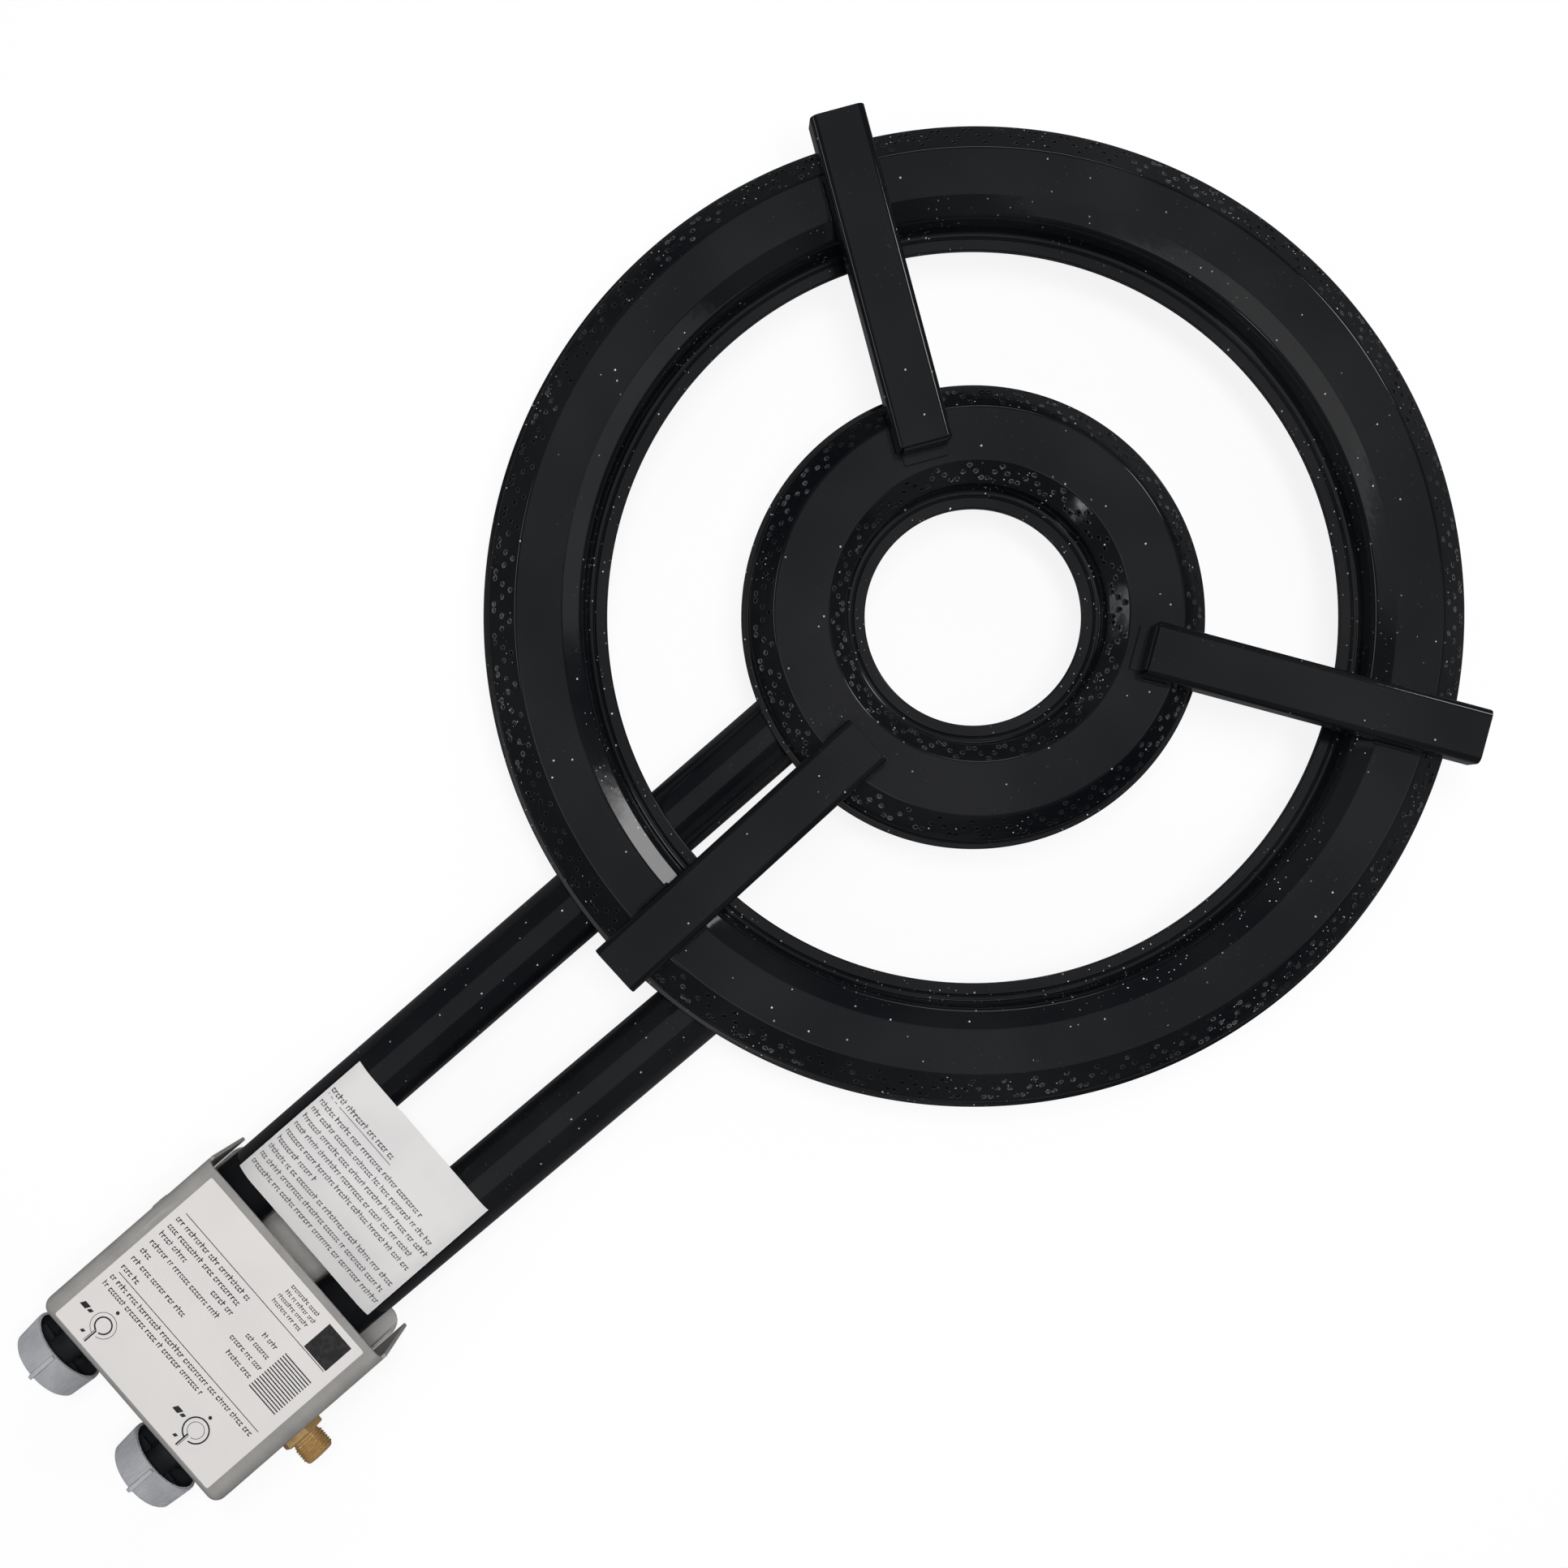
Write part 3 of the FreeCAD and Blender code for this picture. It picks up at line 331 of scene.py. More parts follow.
@dataclass(frozen=True)
class Enamel:
    """Glossy blue-black vitreous enamel with white specks, which crowd on the rings' walls."""

    name: str = "blue_black_enamel"
    colour: Colour = (0.0030, 0.0036, 0.0048)
    haze: Colour = (0.0070, 0.0074, 0.0082)
    speck: Colour = (0.50, 0.53, 0.56)
    gloss: float = 0.075
    dulling: float = 0.09
    large: Specks = Specks(cell=5.4, radius=0.37)
    small: Specks = Specks(cell=2.0, radius=0.27)
    small_off_walls: float = 0.05
    haze_width: float = 60.0
    crowd_width: float = 38.0
    smear_width: float = 22.0
    ripple_width: float = 7.0
    fine_ripple_width: float = 2.2
    ripple_depth: float = 0.028

    def material(self) -> bpy.types.Material:
        """Build the material."""
        graph = Graph(self.name)
        place = graph.coordinates()
        drift = graph.noise(place, self.haze_width)
        height = graph.wire("ShaderNodeSeparateXYZ", None, {0: place}, 2)
        wall = (height < RING_TOP - 1.0) * (height > RING_FLOOR)
        crowd = graph.ramp(graph.noise(place, self.crowd_width, 1.0), 0.44, 0.58)
        on_walls = self.small_off_walls + (1.0 - self.small_off_walls) * wall
        small = self.small.mask(graph, place) * on_walls * crowd
        specks = self.large.mask(graph, place).combine("MAXIMUM", small)
        ground = graph.blend(graph.ramp(drift, 0.35, 0.7), self.colour, self.haze)
        smear = graph.ramp(graph.noise(place, self.smear_width, 4.0, 0.6), 0.45, 0.75)
        fine = graph.noise(place, self.fine_ripple_width, 1.0)
        return graph.finish({
            "Base Color": graph.blend(specks, ground, self.speck),
            "Roughness": self.gloss + self.dulling * smear,
            "Normal": graph.bump(graph.noise(place, self.ripple_width, 1.0) + 0.35 * fine, self.ripple_depth),
        })


@dataclass(frozen=True)
class SheetPaint:
    """Grey satin paint on sheet steel, slightly mottled and scuffed."""

    name: str = "grey_sheet_paint"
    colour: Colour = (0.250, 0.246, 0.237)
    pale: Colour = (0.335, 0.330, 0.317)
    scuffed: Colour = (0.42, 0.42, 0.41)
    roughness: float = 0.40
    cloud_width: float = 16.0
    grain_width: float = 0.8
    lump_width: float = 4.0
    scuff_width: float = 3.0
    scuff_stretch: tuple[float, float, float] = (1.0, 0.12, 1.0)
    grain_depth: float = 0.05

    def material(self) -> bpy.types.Material:
        """Build the material."""
        graph = Graph(self.name)
        place = graph.coordinates()
        cloud = graph.ramp(graph.noise(place, self.cloud_width, 4.0, 0.6), 0.3, 0.72)
        grain = graph.noise(place, self.grain_width, 3.0, 0.65)
        paint = graph.blend(0.65 * cloud + 0.35 * grain, self.colour, self.pale)
        scratches = graph.noise(graph.coordinates(self.scuff_stretch), self.scuff_width, 3.0)
        scuff = graph.ramp(scratches, 0.62, 0.8)
        return graph.finish({
            "Base Color": graph.blend(0.35 * scuff, paint, self.scuffed),
            "Roughness": self.roughness + 0.14 * cloud,
            "Metallic": 0.25,
            "Normal": graph.bump(grain + 0.8 * graph.noise(place, self.lump_width), self.grain_depth),
        })


@dataclass(frozen=True)
class Plastic:
    """Moulded plastic with a fine spark-eroded grain."""

    name: str
    colour: Colour
    pale: Colour
    roughness: float = 0.45
    grain_width: float = 0.5
    cloud_width: float = 9.0
    grain_depth: float = 0.03

    def material(self) -> bpy.types.Material:
        """Build the material."""
        graph = Graph(self.name)
        place = graph.coordinates()
        grain = graph.noise(place, self.grain_width)
        cloud = graph.ramp(graph.noise(place, self.cloud_width, 3.0), 0.3, 0.7)
        return graph.finish({
            "Base Color": graph.blend(0.7 * cloud + 0.3 * grain, self.colour, self.pale),
            "Roughness": self.roughness + 0.1 * grain,
            "Normal": graph.bump(grain, self.grain_depth),
        })


@dataclass(frozen=True)
class Metal:
    """Bare metal with fine working marks and some dulling."""

    name: str
    colour: Colour
    dull: Colour
    roughness: float = 0.24
    metallic: float = 1.0
    stain_width: float = 5.0
    mark_width: float = 0.35
    mark_depth: float = 0.012

    def material(self) -> bpy.types.Material:
        """Build the material."""
        graph = Graph(self.name)
        place = graph.coordinates()
        stain = graph.ramp(graph.noise(place, self.stain_width, 4.0, 0.6), 0.4, 0.75)
        marks = graph.noise(place, self.mark_width)
        return graph.finish({
            "Base Color": graph.blend(0.7 * stain, self.colour, self.dull),
            "Metallic": self.metallic,
            "Roughness": self.roughness + 0.18 * stain + 0.08 * marks,
            "Normal": graph.bump(marks, self.mark_depth),
        })


@dataclass(frozen=True)
class Paper:
    """White paper or film with fibres, faint waves and a painted cool shade in soft random clouds, which
    stands in for the shade in its hollows.
    """

    name: str
    colour: Colour
    shade: Colour
    roughness: float = 0.6
    wave_depth: float = 0.25
    fibre_width: float = 0.6
    cloud_width: float = 26.0
    wave_width: float = 12.0
    wave_stretch: tuple[float, float, float] = (1.0, 0.35, 1.0)

    def material(self) -> bpy.types.Material:
        """Build the material."""
        graph = Graph(self.name)
        place = graph.coordinates()
        fibre = graph.noise(place, self.fibre_width, 3.0)
        # The cloud lays on the shade colour: painted shade, placed at random.
        cloud = graph.ramp(graph.noise(place, self.cloud_width), 0.35, 0.7)
        wave = graph.noise(graph.coordinates(self.wave_stretch), self.wave_width)
        return graph.finish({
            "Base Color": graph.blend(0.6 * cloud + 0.15 * fibre, self.colour, self.shade),
            "Roughness": self.roughness + 0.08 * fibre,
            "Normal": graph.bump(wave + 0.06 * fibre, self.wave_depth),
        })


@dataclass(frozen=True)
class Ink:
    """Printing ink, a little uneven."""

    name: str
    colour: Colour
    worn: Colour
    wear_width: float = 1.6

    def material(self) -> bpy.types.Material:
        """Build the material."""
        graph = Graph(self.name)
        fade = graph.ramp(graph.noise(graph.coordinates(), self.wear_width, 3.0), 0.4, 0.75)
        return graph.finish({
            "Base Color": graph.blend(fade, self.colour, self.worn),
            "Roughness": 0.5 + 0.1 * fade,
        })


@dataclass(frozen=True)
class PortShadeAndSoot:
    """The near-black floor of a blind port: painted shade that stands in for the dark hole into the ring,
    with some soot.
    """

    name: str = "port_painted_shade_and_soot"
    colour: Colour = (0.0012, 0.0012, 0.0014)
    pale: Colour = (0.004, 0.0038, 0.0036)
    grain_width: float = 0.7

    def material(self) -> bpy.types.Material:
        """Build the material."""
        graph = Graph(self.name)
        cloud = graph.noise(graph.coordinates(), self.grain_width)
        return graph.finish({
            "Base Color": graph.blend(cloud, self.colour, self.pale),
            "Roughness": 0.85 + 0.1 * cloud,
        })


@dataclass(frozen=True)
class PortRim:
    """Thin enamel on a punched rim, grey in random patches: partly steel showing through, partly a painted
    glint on the rims.
    """

    name: str = "rim_thin_enamel_and_painted_glint"
    thick: Colour = (0.006, 0.0066, 0.0078)
    # The grey of the rims: partly steel through thin enamel, partly a painted glint.
    thin: Colour = (0.085, 0.088, 0.092)
    patch_width: float = 46.0
    spot_width: float = 1.3
    lump_width: float = 0.9
    lump_depth: float = 0.05

    def material(self) -> bpy.types.Material:
        """Build the material."""
        graph = Graph(self.name)
        place = graph.coordinates()
        patch = graph.ramp(graph.noise(place, self.patch_width), 0.42, 0.62)
        spot = graph.ramp(graph.noise(place, self.spot_width), 0.36, 0.6)
        return graph.finish({
            "Base Color": graph.blend(patch * spot, self.thick, self.thin),
            "Roughness": 0.14 + 0.16 * spot,
            "Normal": graph.bump(graph.noise(place, self.lump_width), self.lump_depth),
        })


class Finishes:
    """Every finish of the burner, made once and shared."""

    def __init__(self) -> None:
        """Build all the materials."""
        self.enamel = Enamel().material()
        self.shade_and_soot = PortShadeAndSoot().material()
        self.port_rim = PortRim().material()
        self.paint = SheetPaint().material()
        # The tray's paint is much paler than the cover's: partly the tray's own lighter tone, partly painted
        # light that makes up for the light the cover keeps off it.
        self.tray = SheetPaint(
            "tray_paint_with_painted_light", (0.46, 0.45, 0.435), (0.60, 0.585, 0.565),
        ).material()
        self.grey_plastic = Plastic(
            "grey_knob_plastic", (0.30, 0.305, 0.325), (0.37, 0.375, 0.395),
        ).material()
        # The knob's hollow back is made near-black, far darker than its grey outside.
        self.knob_hollow_dark = Plastic(
            "knob_hollow_darkened", (0.012, 0.013, 0.015), (0.022, 0.023, 0.026),
        ).material()
        self.brass = Metal(
            "turned_brass", (0.62, 0.40, 0.17), (0.40, 0.24, 0.10), roughness=0.28, metallic=0.6,
        ).material()
        self.steel = Metal(
            "zinc_plated_steel", (0.62, 0.62, 0.60), (0.42, 0.42, 0.41), roughness=0.3, metallic=0.7,
        ).material()
        self.aluminium = Metal(
            "drawn_aluminium_pipe", (0.74, 0.75, 0.76), (0.55, 0.56, 0.57), roughness=0.28,
        ).material()
        self.paper = Paper("instruction_paper", (0.60, 0.59, 0.585), (0.54, 0.53, 0.53)).material()
        self.label = Paper(
            "label_film", (0.60, 0.58, 0.57), (0.57, 0.555, 0.545), roughness=0.38, wave_depth=0.02,
        ).material()
        self.ink = Ink("black_ink", (0.012, 0.012, 0.013), (0.03, 0.03, 0.032)).material()
        self.pale_ink = Ink("grey_ink", (0.045, 0.045, 0.05), (0.09, 0.09, 0.095)).material()


# Shape tools


def rounded(corners: Sequence[Corner], steps: int = 4) -> list[Point]:
    """An open run of points whose inner corners are rounded.

    Args:
        corners: Places and the radius of each corner; the ends stay sharp.
        steps: Straight runs in each rounding.

    Returns:
        The points of the run.
    """
    nearly_straight = math.pi - 0.02
    points: list[Point] = [(corners[0][0], corners[0][1])]
    for before, here, after in zip(corners, corners[1:], corners[2:]):
        radius = here[2]
        corner = Vector(here[:2])
        back = (Vector(before[:2]) - corner).normalized()
        on = (Vector(after[:2]) - corner).normalized()
        angle = back.angle(on)
        if radius <= 0.0 or angle > nearly_straight:
            points.append((corner.x, corner.y))
            continue
        reach = radius / math.tan(angle / 2)
        centre = corner + (back + on).normalized() * radius / math.sin(angle / 2)
        start = corner + back * reach - centre
        turn = start.angle_signed(corner + on * reach - centre)
        for step in range(steps + 1):
            arm = Matrix.Rotation(-turn * step / steps, 2) @ start
            points.append((centre.x + arm.x, centre.y + arm.y))
    points.append((corners[-1][0], corners[-1][1]))
    return points


class Shape:
    """A mesh in the making, in millimetres."""

    def __init__(self) -> None:
        """Start with nothing."""
        self.mesh = bmesh.new()

    @property
    def parts(self) -> list[Union[bmesh.types.BMVert, bmesh.types.BMEdge, bmesh.types.BMFace]]:
        """Every corner, edge and face."""
        return [*self.mesh.verts, *self.mesh.edges, *self.mesh.faces]

    @property
    def open_edges(self) -> list[bmesh.types.BMEdge]:
        """The edges round the shape's openings."""
        return [edge for edge in self.mesh.edges if edge.is_boundary]

    def line(self, points: Iterable[Sequence[float]]) -> list[bmesh.types.BMEdge]:
        """Join points with edges, and return the edges."""
        corners = [self.mesh.verts.new(point) for point in points]
        return [self.mesh.edges.new(pair) for pair in zip(corners, corners[1:])]

    def spin(self, turns: float, steps: int, rise: float = 0.0, copies: bool = False) -> None:
        """Turn the whole shape round Z.

        Args:
            turns: Number of turns in all.
            steps: Number of steps in all.
            rise: Way up in all, which winds a helix.
            copies: True for copies at every step, otherwise the shape sweeps a surface.
        """
        bmesh.ops.spin(
            self.mesh, geom=self.parts, cent=(0, 0, 0), axis=(0, 0, 1), angle=math.tau * turns,
            steps=steps, dvec=(0, 0, rise / steps), use_duplicate=copies,
        )

    def repeat(self, count: int) -> None:
        """Repeat the whole shape round Z in a full turn and join the seams.

        Args:
            count: Number of shapes in the turn.
        """
        if count > 1:
            self.spin((count - 1) / count, count - 1, copies=True)
        bmesh.ops.remove_doubles(self.mesh, verts=self.mesh.verts, dist=0.001)

    def lathe(self, profile: Sequence[Point], columns: int, finish: int = 0) -> "Shape":
        """Add a profile turned once round Z.

        Args:
            profile: Radii and heights.
            columns: Steps in the full turn.
            finish: Number of the piece's finish.

        Returns:
            The same shape.
        """
        turned = Shape()
        turned.line([(radius, 0.0, height) for radius, height in profile])
        most = int(math.sqrt(columns))
        sectors = max(count for count in range(1, most + 1) if columns % count == 0)
        turned.spin(1.0 / sectors, columns // sectors)
        turned.repeat(sectors)
        return self.join(turned.give(finish))

    def block(
        self, low: Sequence[float], high: Sequence[float], edge: float = 0.0, finish: int = 0,
    ) -> "Shape":
        """Add a box.

        Args:
            low: Its lowest corner.
            high: Its highest corner.
            edge: How far its edges are rounded.
            finish: Number of the piece's finish.

        Returns:
            The same shape.
        """
        size = [b - a for a, b in zip(low, high)]
        middle = [(a + b) / 2 for a, b in zip(low, high)]
        box = Shape()
        bmesh.ops.create_cube(
            box.mesh, size=1.0, matrix=Matrix.Translation(middle) @ Matrix.Diagonal((*size, 1.0)),
        )
        if edge > 0.0:
            box.bevel(box.mesh.edges, edge, 2)
        return self.join(box.give(finish))

    def strip(
        self, section: Sequence[Sequence[float]], along: Sequence[float], thickness: float,
        cuts: Sequence[tuple[Sequence[float], Sequence[float]]] = (),
    ) -> "Shape":
        """Make the shape a sheet bent to a section, drawn out along a way.

        Args:
            section: Points of the sheet's outer side.
            along: The way that it is drawn out.
            thickness: The sheet's thickness, laid on the side to which its normals don't point.
            cuts: Planes that trim the sheet, each a point and the way to what goes.

        Returns:
            The same shape.
        """
        out = bmesh.ops.extrude_edge_only(self.mesh, edges=self.line(section))["geom"]
        corners = [part for part in out if isinstance(part, bmesh.types.BMVert)]
        bmesh.ops.translate(self.mesh, verts=corners, vec=along)
        bmesh.ops.recalc_face_normals(self.mesh, faces=self.mesh.faces)
        for point, way in cuts:
            self.cut(point, way, True)
        return self.thicken(thickness)

    def cut(self, point: Sequence[float], way: Sequence[float], clear: bool = False) -> None:
        """Cut the shape with a plane.

        Args:
            point: A point of the plane.
            way: The way out of it.
            clear: True where what lies that way goes.
        """
        bmesh.ops.bisect_plane(self.mesh, geom=self.parts, plane_co=point, plane_no=way, clear_outer=clear)

    def thicken(self, thickness: float) -> "Shape":
        """Give a sheet its thickness, on the side to which its normals don't point."""
        bmesh.ops.solidify(self.mesh, geom=self.mesh.faces[:], thickness=thickness)
        return self

    def turn_up(self) -> "Shape":
        """Turn a sheet's normals so that those of its top point up.

        Returns:
            The same shape.
        """
        bmesh.ops.recalc_face_normals(self.mesh, faces=self.mesh.faces)
        top = max(self.mesh.faces, key=lambda face: face.calc_area() * abs(face.normal.z))
        if top.normal.z < 0.0:
            bmesh.ops.reverse_faces(self.mesh, faces=self.mesh.faces)
        return self

    def bevel(self, edges: Iterable[bmesh.types.BMEdge], offset: float, segments: int) -> None:
        """Round edges."""
        bmesh.ops.bevel(
            self.mesh, geom=list(edges), offset=offset, segments=segments, profile=0.5,
            affect="EDGES", material=-1, clamp_overlap=True,
        )

    def soften_rims(self, offset: float) -> "Shape":
        """Round the cut rims of a sheet, which are its sharpest edges.

        Args:
            offset: How far they are rounded.

        Returns:
            The same shape.
        """
        sharp = 1.2
        self.bevel([edge for edge in self.mesh.edges if edge.calc_face_angle(0.0) > sharp], offset, 2)
        return self

    def give(self, finish: int) -> "Shape":
        """Give every face the finish of that number."""
        for face in self.mesh.faces:
            face.material_index = finish
        return self

    def move(self, place: Matrix) -> "Shape":
        """Move the whole shape."""
        bmesh.ops.transform(self.mesh, matrix=place, verts=self.mesh.verts)
        return self

    def join(self, other: "Shape") -> "Shape":
        """Take in another shape.

        Args:
            other: The other shape, which is used up.

        Returns:
            The same shape.
        """
        spare = bpy.data.meshes.new("spare")
        other.mesh.to_mesh(spare)
        self.mesh.from_mesh(spare)
        bpy.data.meshes.remove(spare)
        other.mesh.free()
        return self

    def add_to_scene(self, name: str, finishes: Sequence[bpy.types.Material]) -> bpy.types.Object:
        """Put the shape into the scene as an object.

        Args:
            name: The object's name.
            finishes: Its materials, by number.

        Returns:
            The object.
        """
        data = bpy.data.meshes.new(name)
        self.mesh.to_mesh(data)
        self.mesh.free()
        for finish in finishes:
            data.materials.append(finish)
        thing = bpy.data.objects.new(name, data)
        bpy.context.scene.collection.objects.link(thing)
        return thing

    def piece(
        self, name: str, body: Body, finishes: Sequence[bpy.types.Material], slot: str,
        replaces: Sequence[str] = (), sharp: float = 32.0, merge: float = 0.01, solid: bool = True,
    ) -> bpy.types.Object:
        """Make the shape a piece of the burner.

        Args:
            name: The piece's name.
            body: The body that it moves with.
            finishes: Its materials, by number.
            slot: The record's material slot; not used.
            replaces: CAD nodes that it stands for.
            sharp: Edges that turn by more degrees than this stay sharp.
            merge: Corners nearer than this, in millimetres, become one.
            solid: True where all faces can be turned to point outwards.

        Returns:
            The new object.
        """
        bmesh.ops.remove_doubles(self.mesh, verts=self.mesh.verts, dist=merge)
        if solid:
            bmesh.ops.recalc_face_normals(self.mesh, faces=self.mesh.faces)
        thing = self.move(Matrix.Scale(MM, 4)).add_to_scene(name, finishes)
        thing.data.shade_smooth()
        thing.data.set_sharp_from_angle(angle=math.radians(sharp))
        if solid:
            shading = thing.modifiers.new("flat_faces_stay_flat", "WEIGHTED_NORMAL")
            shading.keep_sharp = True
        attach(thing, body.value)
        if replaces:
            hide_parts(*replaces)
        LOG.info("%s: %d faces", name, len(thing.data.polygons))
        return thing


# The rings


@dataclass
class PortBand:
    """A sloping band with gas ports in a zigzag of three rows.

    The pattern of one step is five ports: one in the upper row, two in the middle row and two in
    the lower row.
    """

    top: Point
    low: Point
    steps: int
    port_radius: float
    port_depth: float = 2.2
    collar: float = 0.28
    burr: float = 0.14
    mouth_share: float = 0.84
    pattern: tuple[tuple[int, int], ...] = ((0, 2), (1, 1), (2, 0), (3, 0), (4, 1))
    rows: int = 3

    @property
    def columns(self) -> int:
        """Faces round the whole band."""
        return len(self.pattern) * self.steps

    @property
    def collar_radius(self) -> float:
        """Radius of the raised collar's foot round a port."""
        return self.port_radius + self.collar

    def add_to(self, shape: Shape) -> None:
        """Build one step of the band flat, bend it to the slope and repeat it round Z.

        Args:
            shape: The ring's shell, which takes the band in.
        """
        middle_radius = (self.top[0] + self.low[0]) / 2
        slope = Vector(self.top) - Vector(self.low)
        height = slope.length
        step = self._flat_step(math.tau * middle_radius / self.steps, height)
        out = Vector((slope.y, -slope.x)).normalized()
        if out.y < 0:
            out.negate()
        for corner in step.mesh.verts:
            turn = corner.co.x / middle_radius
            foot = Vector(self.low) + slope * (corner.co.y / height) + out * corner.co.z
            corner.co = (foot.x * math.cos(turn), foot.x * math.sin(turn), foot.y)
        step.repeat(self.steps)
        shape.join(step)

    def _flat_step(self, width: float, height: float) -> Shape:
        """One step of the pattern, flat, with its ports sunk and their collars raised.

        Args:
            width: The step's width.
            height: The band's height along its slope.

        Returns:
            The step.
        """
        step = Shape()
        across = len(self.pattern)
        bmesh.ops.create_grid(
            step.mesh, x_segments=across, y_segments=self.rows, size=0.5,
            matrix=Matrix.Translation((0.5, 0.5, 0.0)),
        )
        ports = []
        for face in step.mesh.faces:
            centre = face.calc_center_median()
            if (int(centre.x * across), int(centre.y * self.rows)) in self.pattern:
                ports.append(face)
        bmesh.ops.scale(step.mesh, vec=(width, height, 1.0), verts=step.mesh.verts)
        centres = [face.calc_center_median() for face in ports]
        bmesh.ops.inset_individual(step.mesh, faces=ports, thickness=0.1)
        for face, centre in zip(ports, centres):
            self._round(face, centre)
        before = set(step.mesh.faces)
        ports = self._sink(step, ports, -self.burr, self.port_radius / self.collar_radius)
        # The raised collars take the rim finish, whose grey patches are partly a painted glint.
        for face in set(step.mesh.faces) - before:
            face.material_index = 2
        ports = self._sink(step, ports, self.burr, self.mouth_share)
        # Port floors take the near-black finish: painted shade for the hole into the ring, with some soot.
        for face in self._sink(step, ports, self.port_depth, 1.0):
            face.material_index = 1
        return step

    def _round(self, face: bmesh.types.BMFace, centre: Vector) -> None:
        """Make a square face a round one with eight corners.

        Args:
            face: The face.
            centre: Its centre.
        """
        for edge in list(face.edges):
            bmesh.utils.edge_split(edge, edge.verts[0], 0.5)
        eighth = math.tau / len(face.verts)
        arm = face.verts[0].co - centre
        start = round(math.atan2(arm.y, arm.x) / eighth) * eighth
        for number, corner in enumerate(face.verts):
            turn = start + number * eighth
            corner.co = centre + Vector((math.cos(turn), math.sin(turn), 0.0)) * self.collar_radius

    def _sink(
        self, step: Shape, faces: list[bmesh.types.BMFace], depth: float, share: float,
    ) -> list[bmesh.types.BMFace]:
        """Extrude each port inwards.

        Args:
            step: The step that holds the ports.
            faces: The ports' floors.
            depth: How deep they go, or rise below zero.
            share: Share of its width that a floor keeps.

        Returns:
            The new floors.
        """
        floors = bmesh.ops.extrude_discrete_faces(step.mesh, faces=faces)["faces"]
        for face in floors:
            centre = face.calc_center_median()
            for corner in face.verts:
                corner.co = centre + (corner.co - centre) * share - Vector((0, 0, depth))
        return floors


@dataclass
class BurnerRing:
    """A hollow ring: a pressed top shell with its ports and a flat base plate."""

    name: str
    radius: float
    hole: float
    bands: list[PortBand]
    finishes: Finishes
    lip: float = 3.0
    plate: float = 1.2
    base_columns: int = 240

    def build(self) -> None:
        """Make the top shell and the base plate."""
        place = Matrix.Translation((0, RING_AXIS_Y, 0))
        self.shell().move(place).piece(
            self.name + "_ring_perforated_shell", Body.FRAME,
            [self.finishes.enamel, self.finishes.shade_and_soot, self.finishes.port_rim],
            "dark_enamel", [self.name + "_ring_top_shell"], sharp=40.0,
        )
        self.base().move(place).piece(
            self.name + "_ring_rolled_base", Body.FRAME, [self.finishes.enamel], "dark_enamel",
            [self.name + "_ring_base_plate"],
        )

    def outer_side(self, band: PortBand) -> list[Point]:
        """The profile from a band's foot round the rim to the floor.

        Args:
            band: The band of ports on the outer slope.

        Returns:
            Radii and heights.
        """
        wall = self.radius - self.lip
        rim = self.radius - 0.1
        return rounded([
            (band.low[0], band.low[1], 0.0),
            (wall, RING_TOP - 9.5, 1.2),
            (wall, RING_FLOOR + 1.9, 1.4),
            (rim, RING_FLOOR + 1.5, 0.5),
            (rim, RING_FLOOR, 0.0),
        ])

    def inner_flange(self) -> list[Point]:
        """The profile from the floor over the inner flange to the end of its seam.

        Returns:
            Radii and heights.
        """
        return rounded([
            (self.hole + 0.1, RING_FLOOR, 0.0),
            (self.hole + 0.1, RING_FLOOR + 1.7, 0.6),
            (self.hole + 4.3, RING_FLOOR + 1.7, 0.4),
            (self.hole + 4.9, RING_FLOOR + 0.7, 0.25),
            (self.hole + 5.5, RING_FLOOR + 1.5, 0.3),
            (self.foot[0], self.foot[1], 0.0),
        ])[:-1]

    @property
    def foot(self) -> Point:
        """Radius and height of the inner wall's foot."""
        raise NotImplementedError

    def shell(self) -> Shape:
        """The pressed top shell."""
        raise NotImplementedError

    def base(self) -> Shape:
        """The base plate, with rounded rims and two shallow stiffening grooves below.

        Returns:
            The plate.
        """
        under = RING_FLOOR - self.plate
        middle = (self.radius + self.hole) / 2
        return Shape().lathe(rounded([
            (middle, RING_FLOOR, 0.0),
            (self.radius, RING_FLOOR, 0.35),
            (self.radius, under, 0.55),
            (self.radius - 4.0, under, 0.3),
            (self.radius - 4.6, under + 0.5, 0.3),
            (self.radius - 5.2, under, 0.3),
            (self.hole + 5.2, under, 0.3),
            (self.hole + 4.6, under + 0.5, 0.3),
            (self.hole + 4.0, under, 0.3),
            (self.hole, under, 0.55),
            (self.hole, RING_FLOOR, 0.35),
            (middle, RING_FLOOR, 0.0),
        ], 3), self.base_columns)


@dataclass
class OuterRing(BurnerRing):
    """The large ring, with ports on its outer slope."""

    @property
    def foot(self) -> Point:
        """Radius and height of the inner wall's foot."""
        return (self.hole + 6.6, RING_FLOOR + 1.6)

    def shell(self) -> Shape:
        """The pressed top shell: flange, leaning inner wall, flat top, ports and rim.

        Returns:
            The shell.
        """
        band = self.bands[0]
        shape = Shape()
        band.add_to(shape)
        foot_radius, foot_height = self.foot
        inner_wall = rounded([
            (foot_radius - 0.8, foot_height - 0.1, 0.0),
            (foot_radius + 0.4, foot_height + 0.2, 1.4),
            (self.hole + 8.6, RING_TOP - 4.6, 3.2),
            (self.hole + 16.8, RING_TOP, 5.0),
            (self.radius - 14.6, RING_TOP, 2.2),
            (band.top[0], band.top[1], 0.0),
        ], 7)
        return shape.lathe([*self.outer_side(band), *self.inner_flange(), *inner_wall], band.columns)


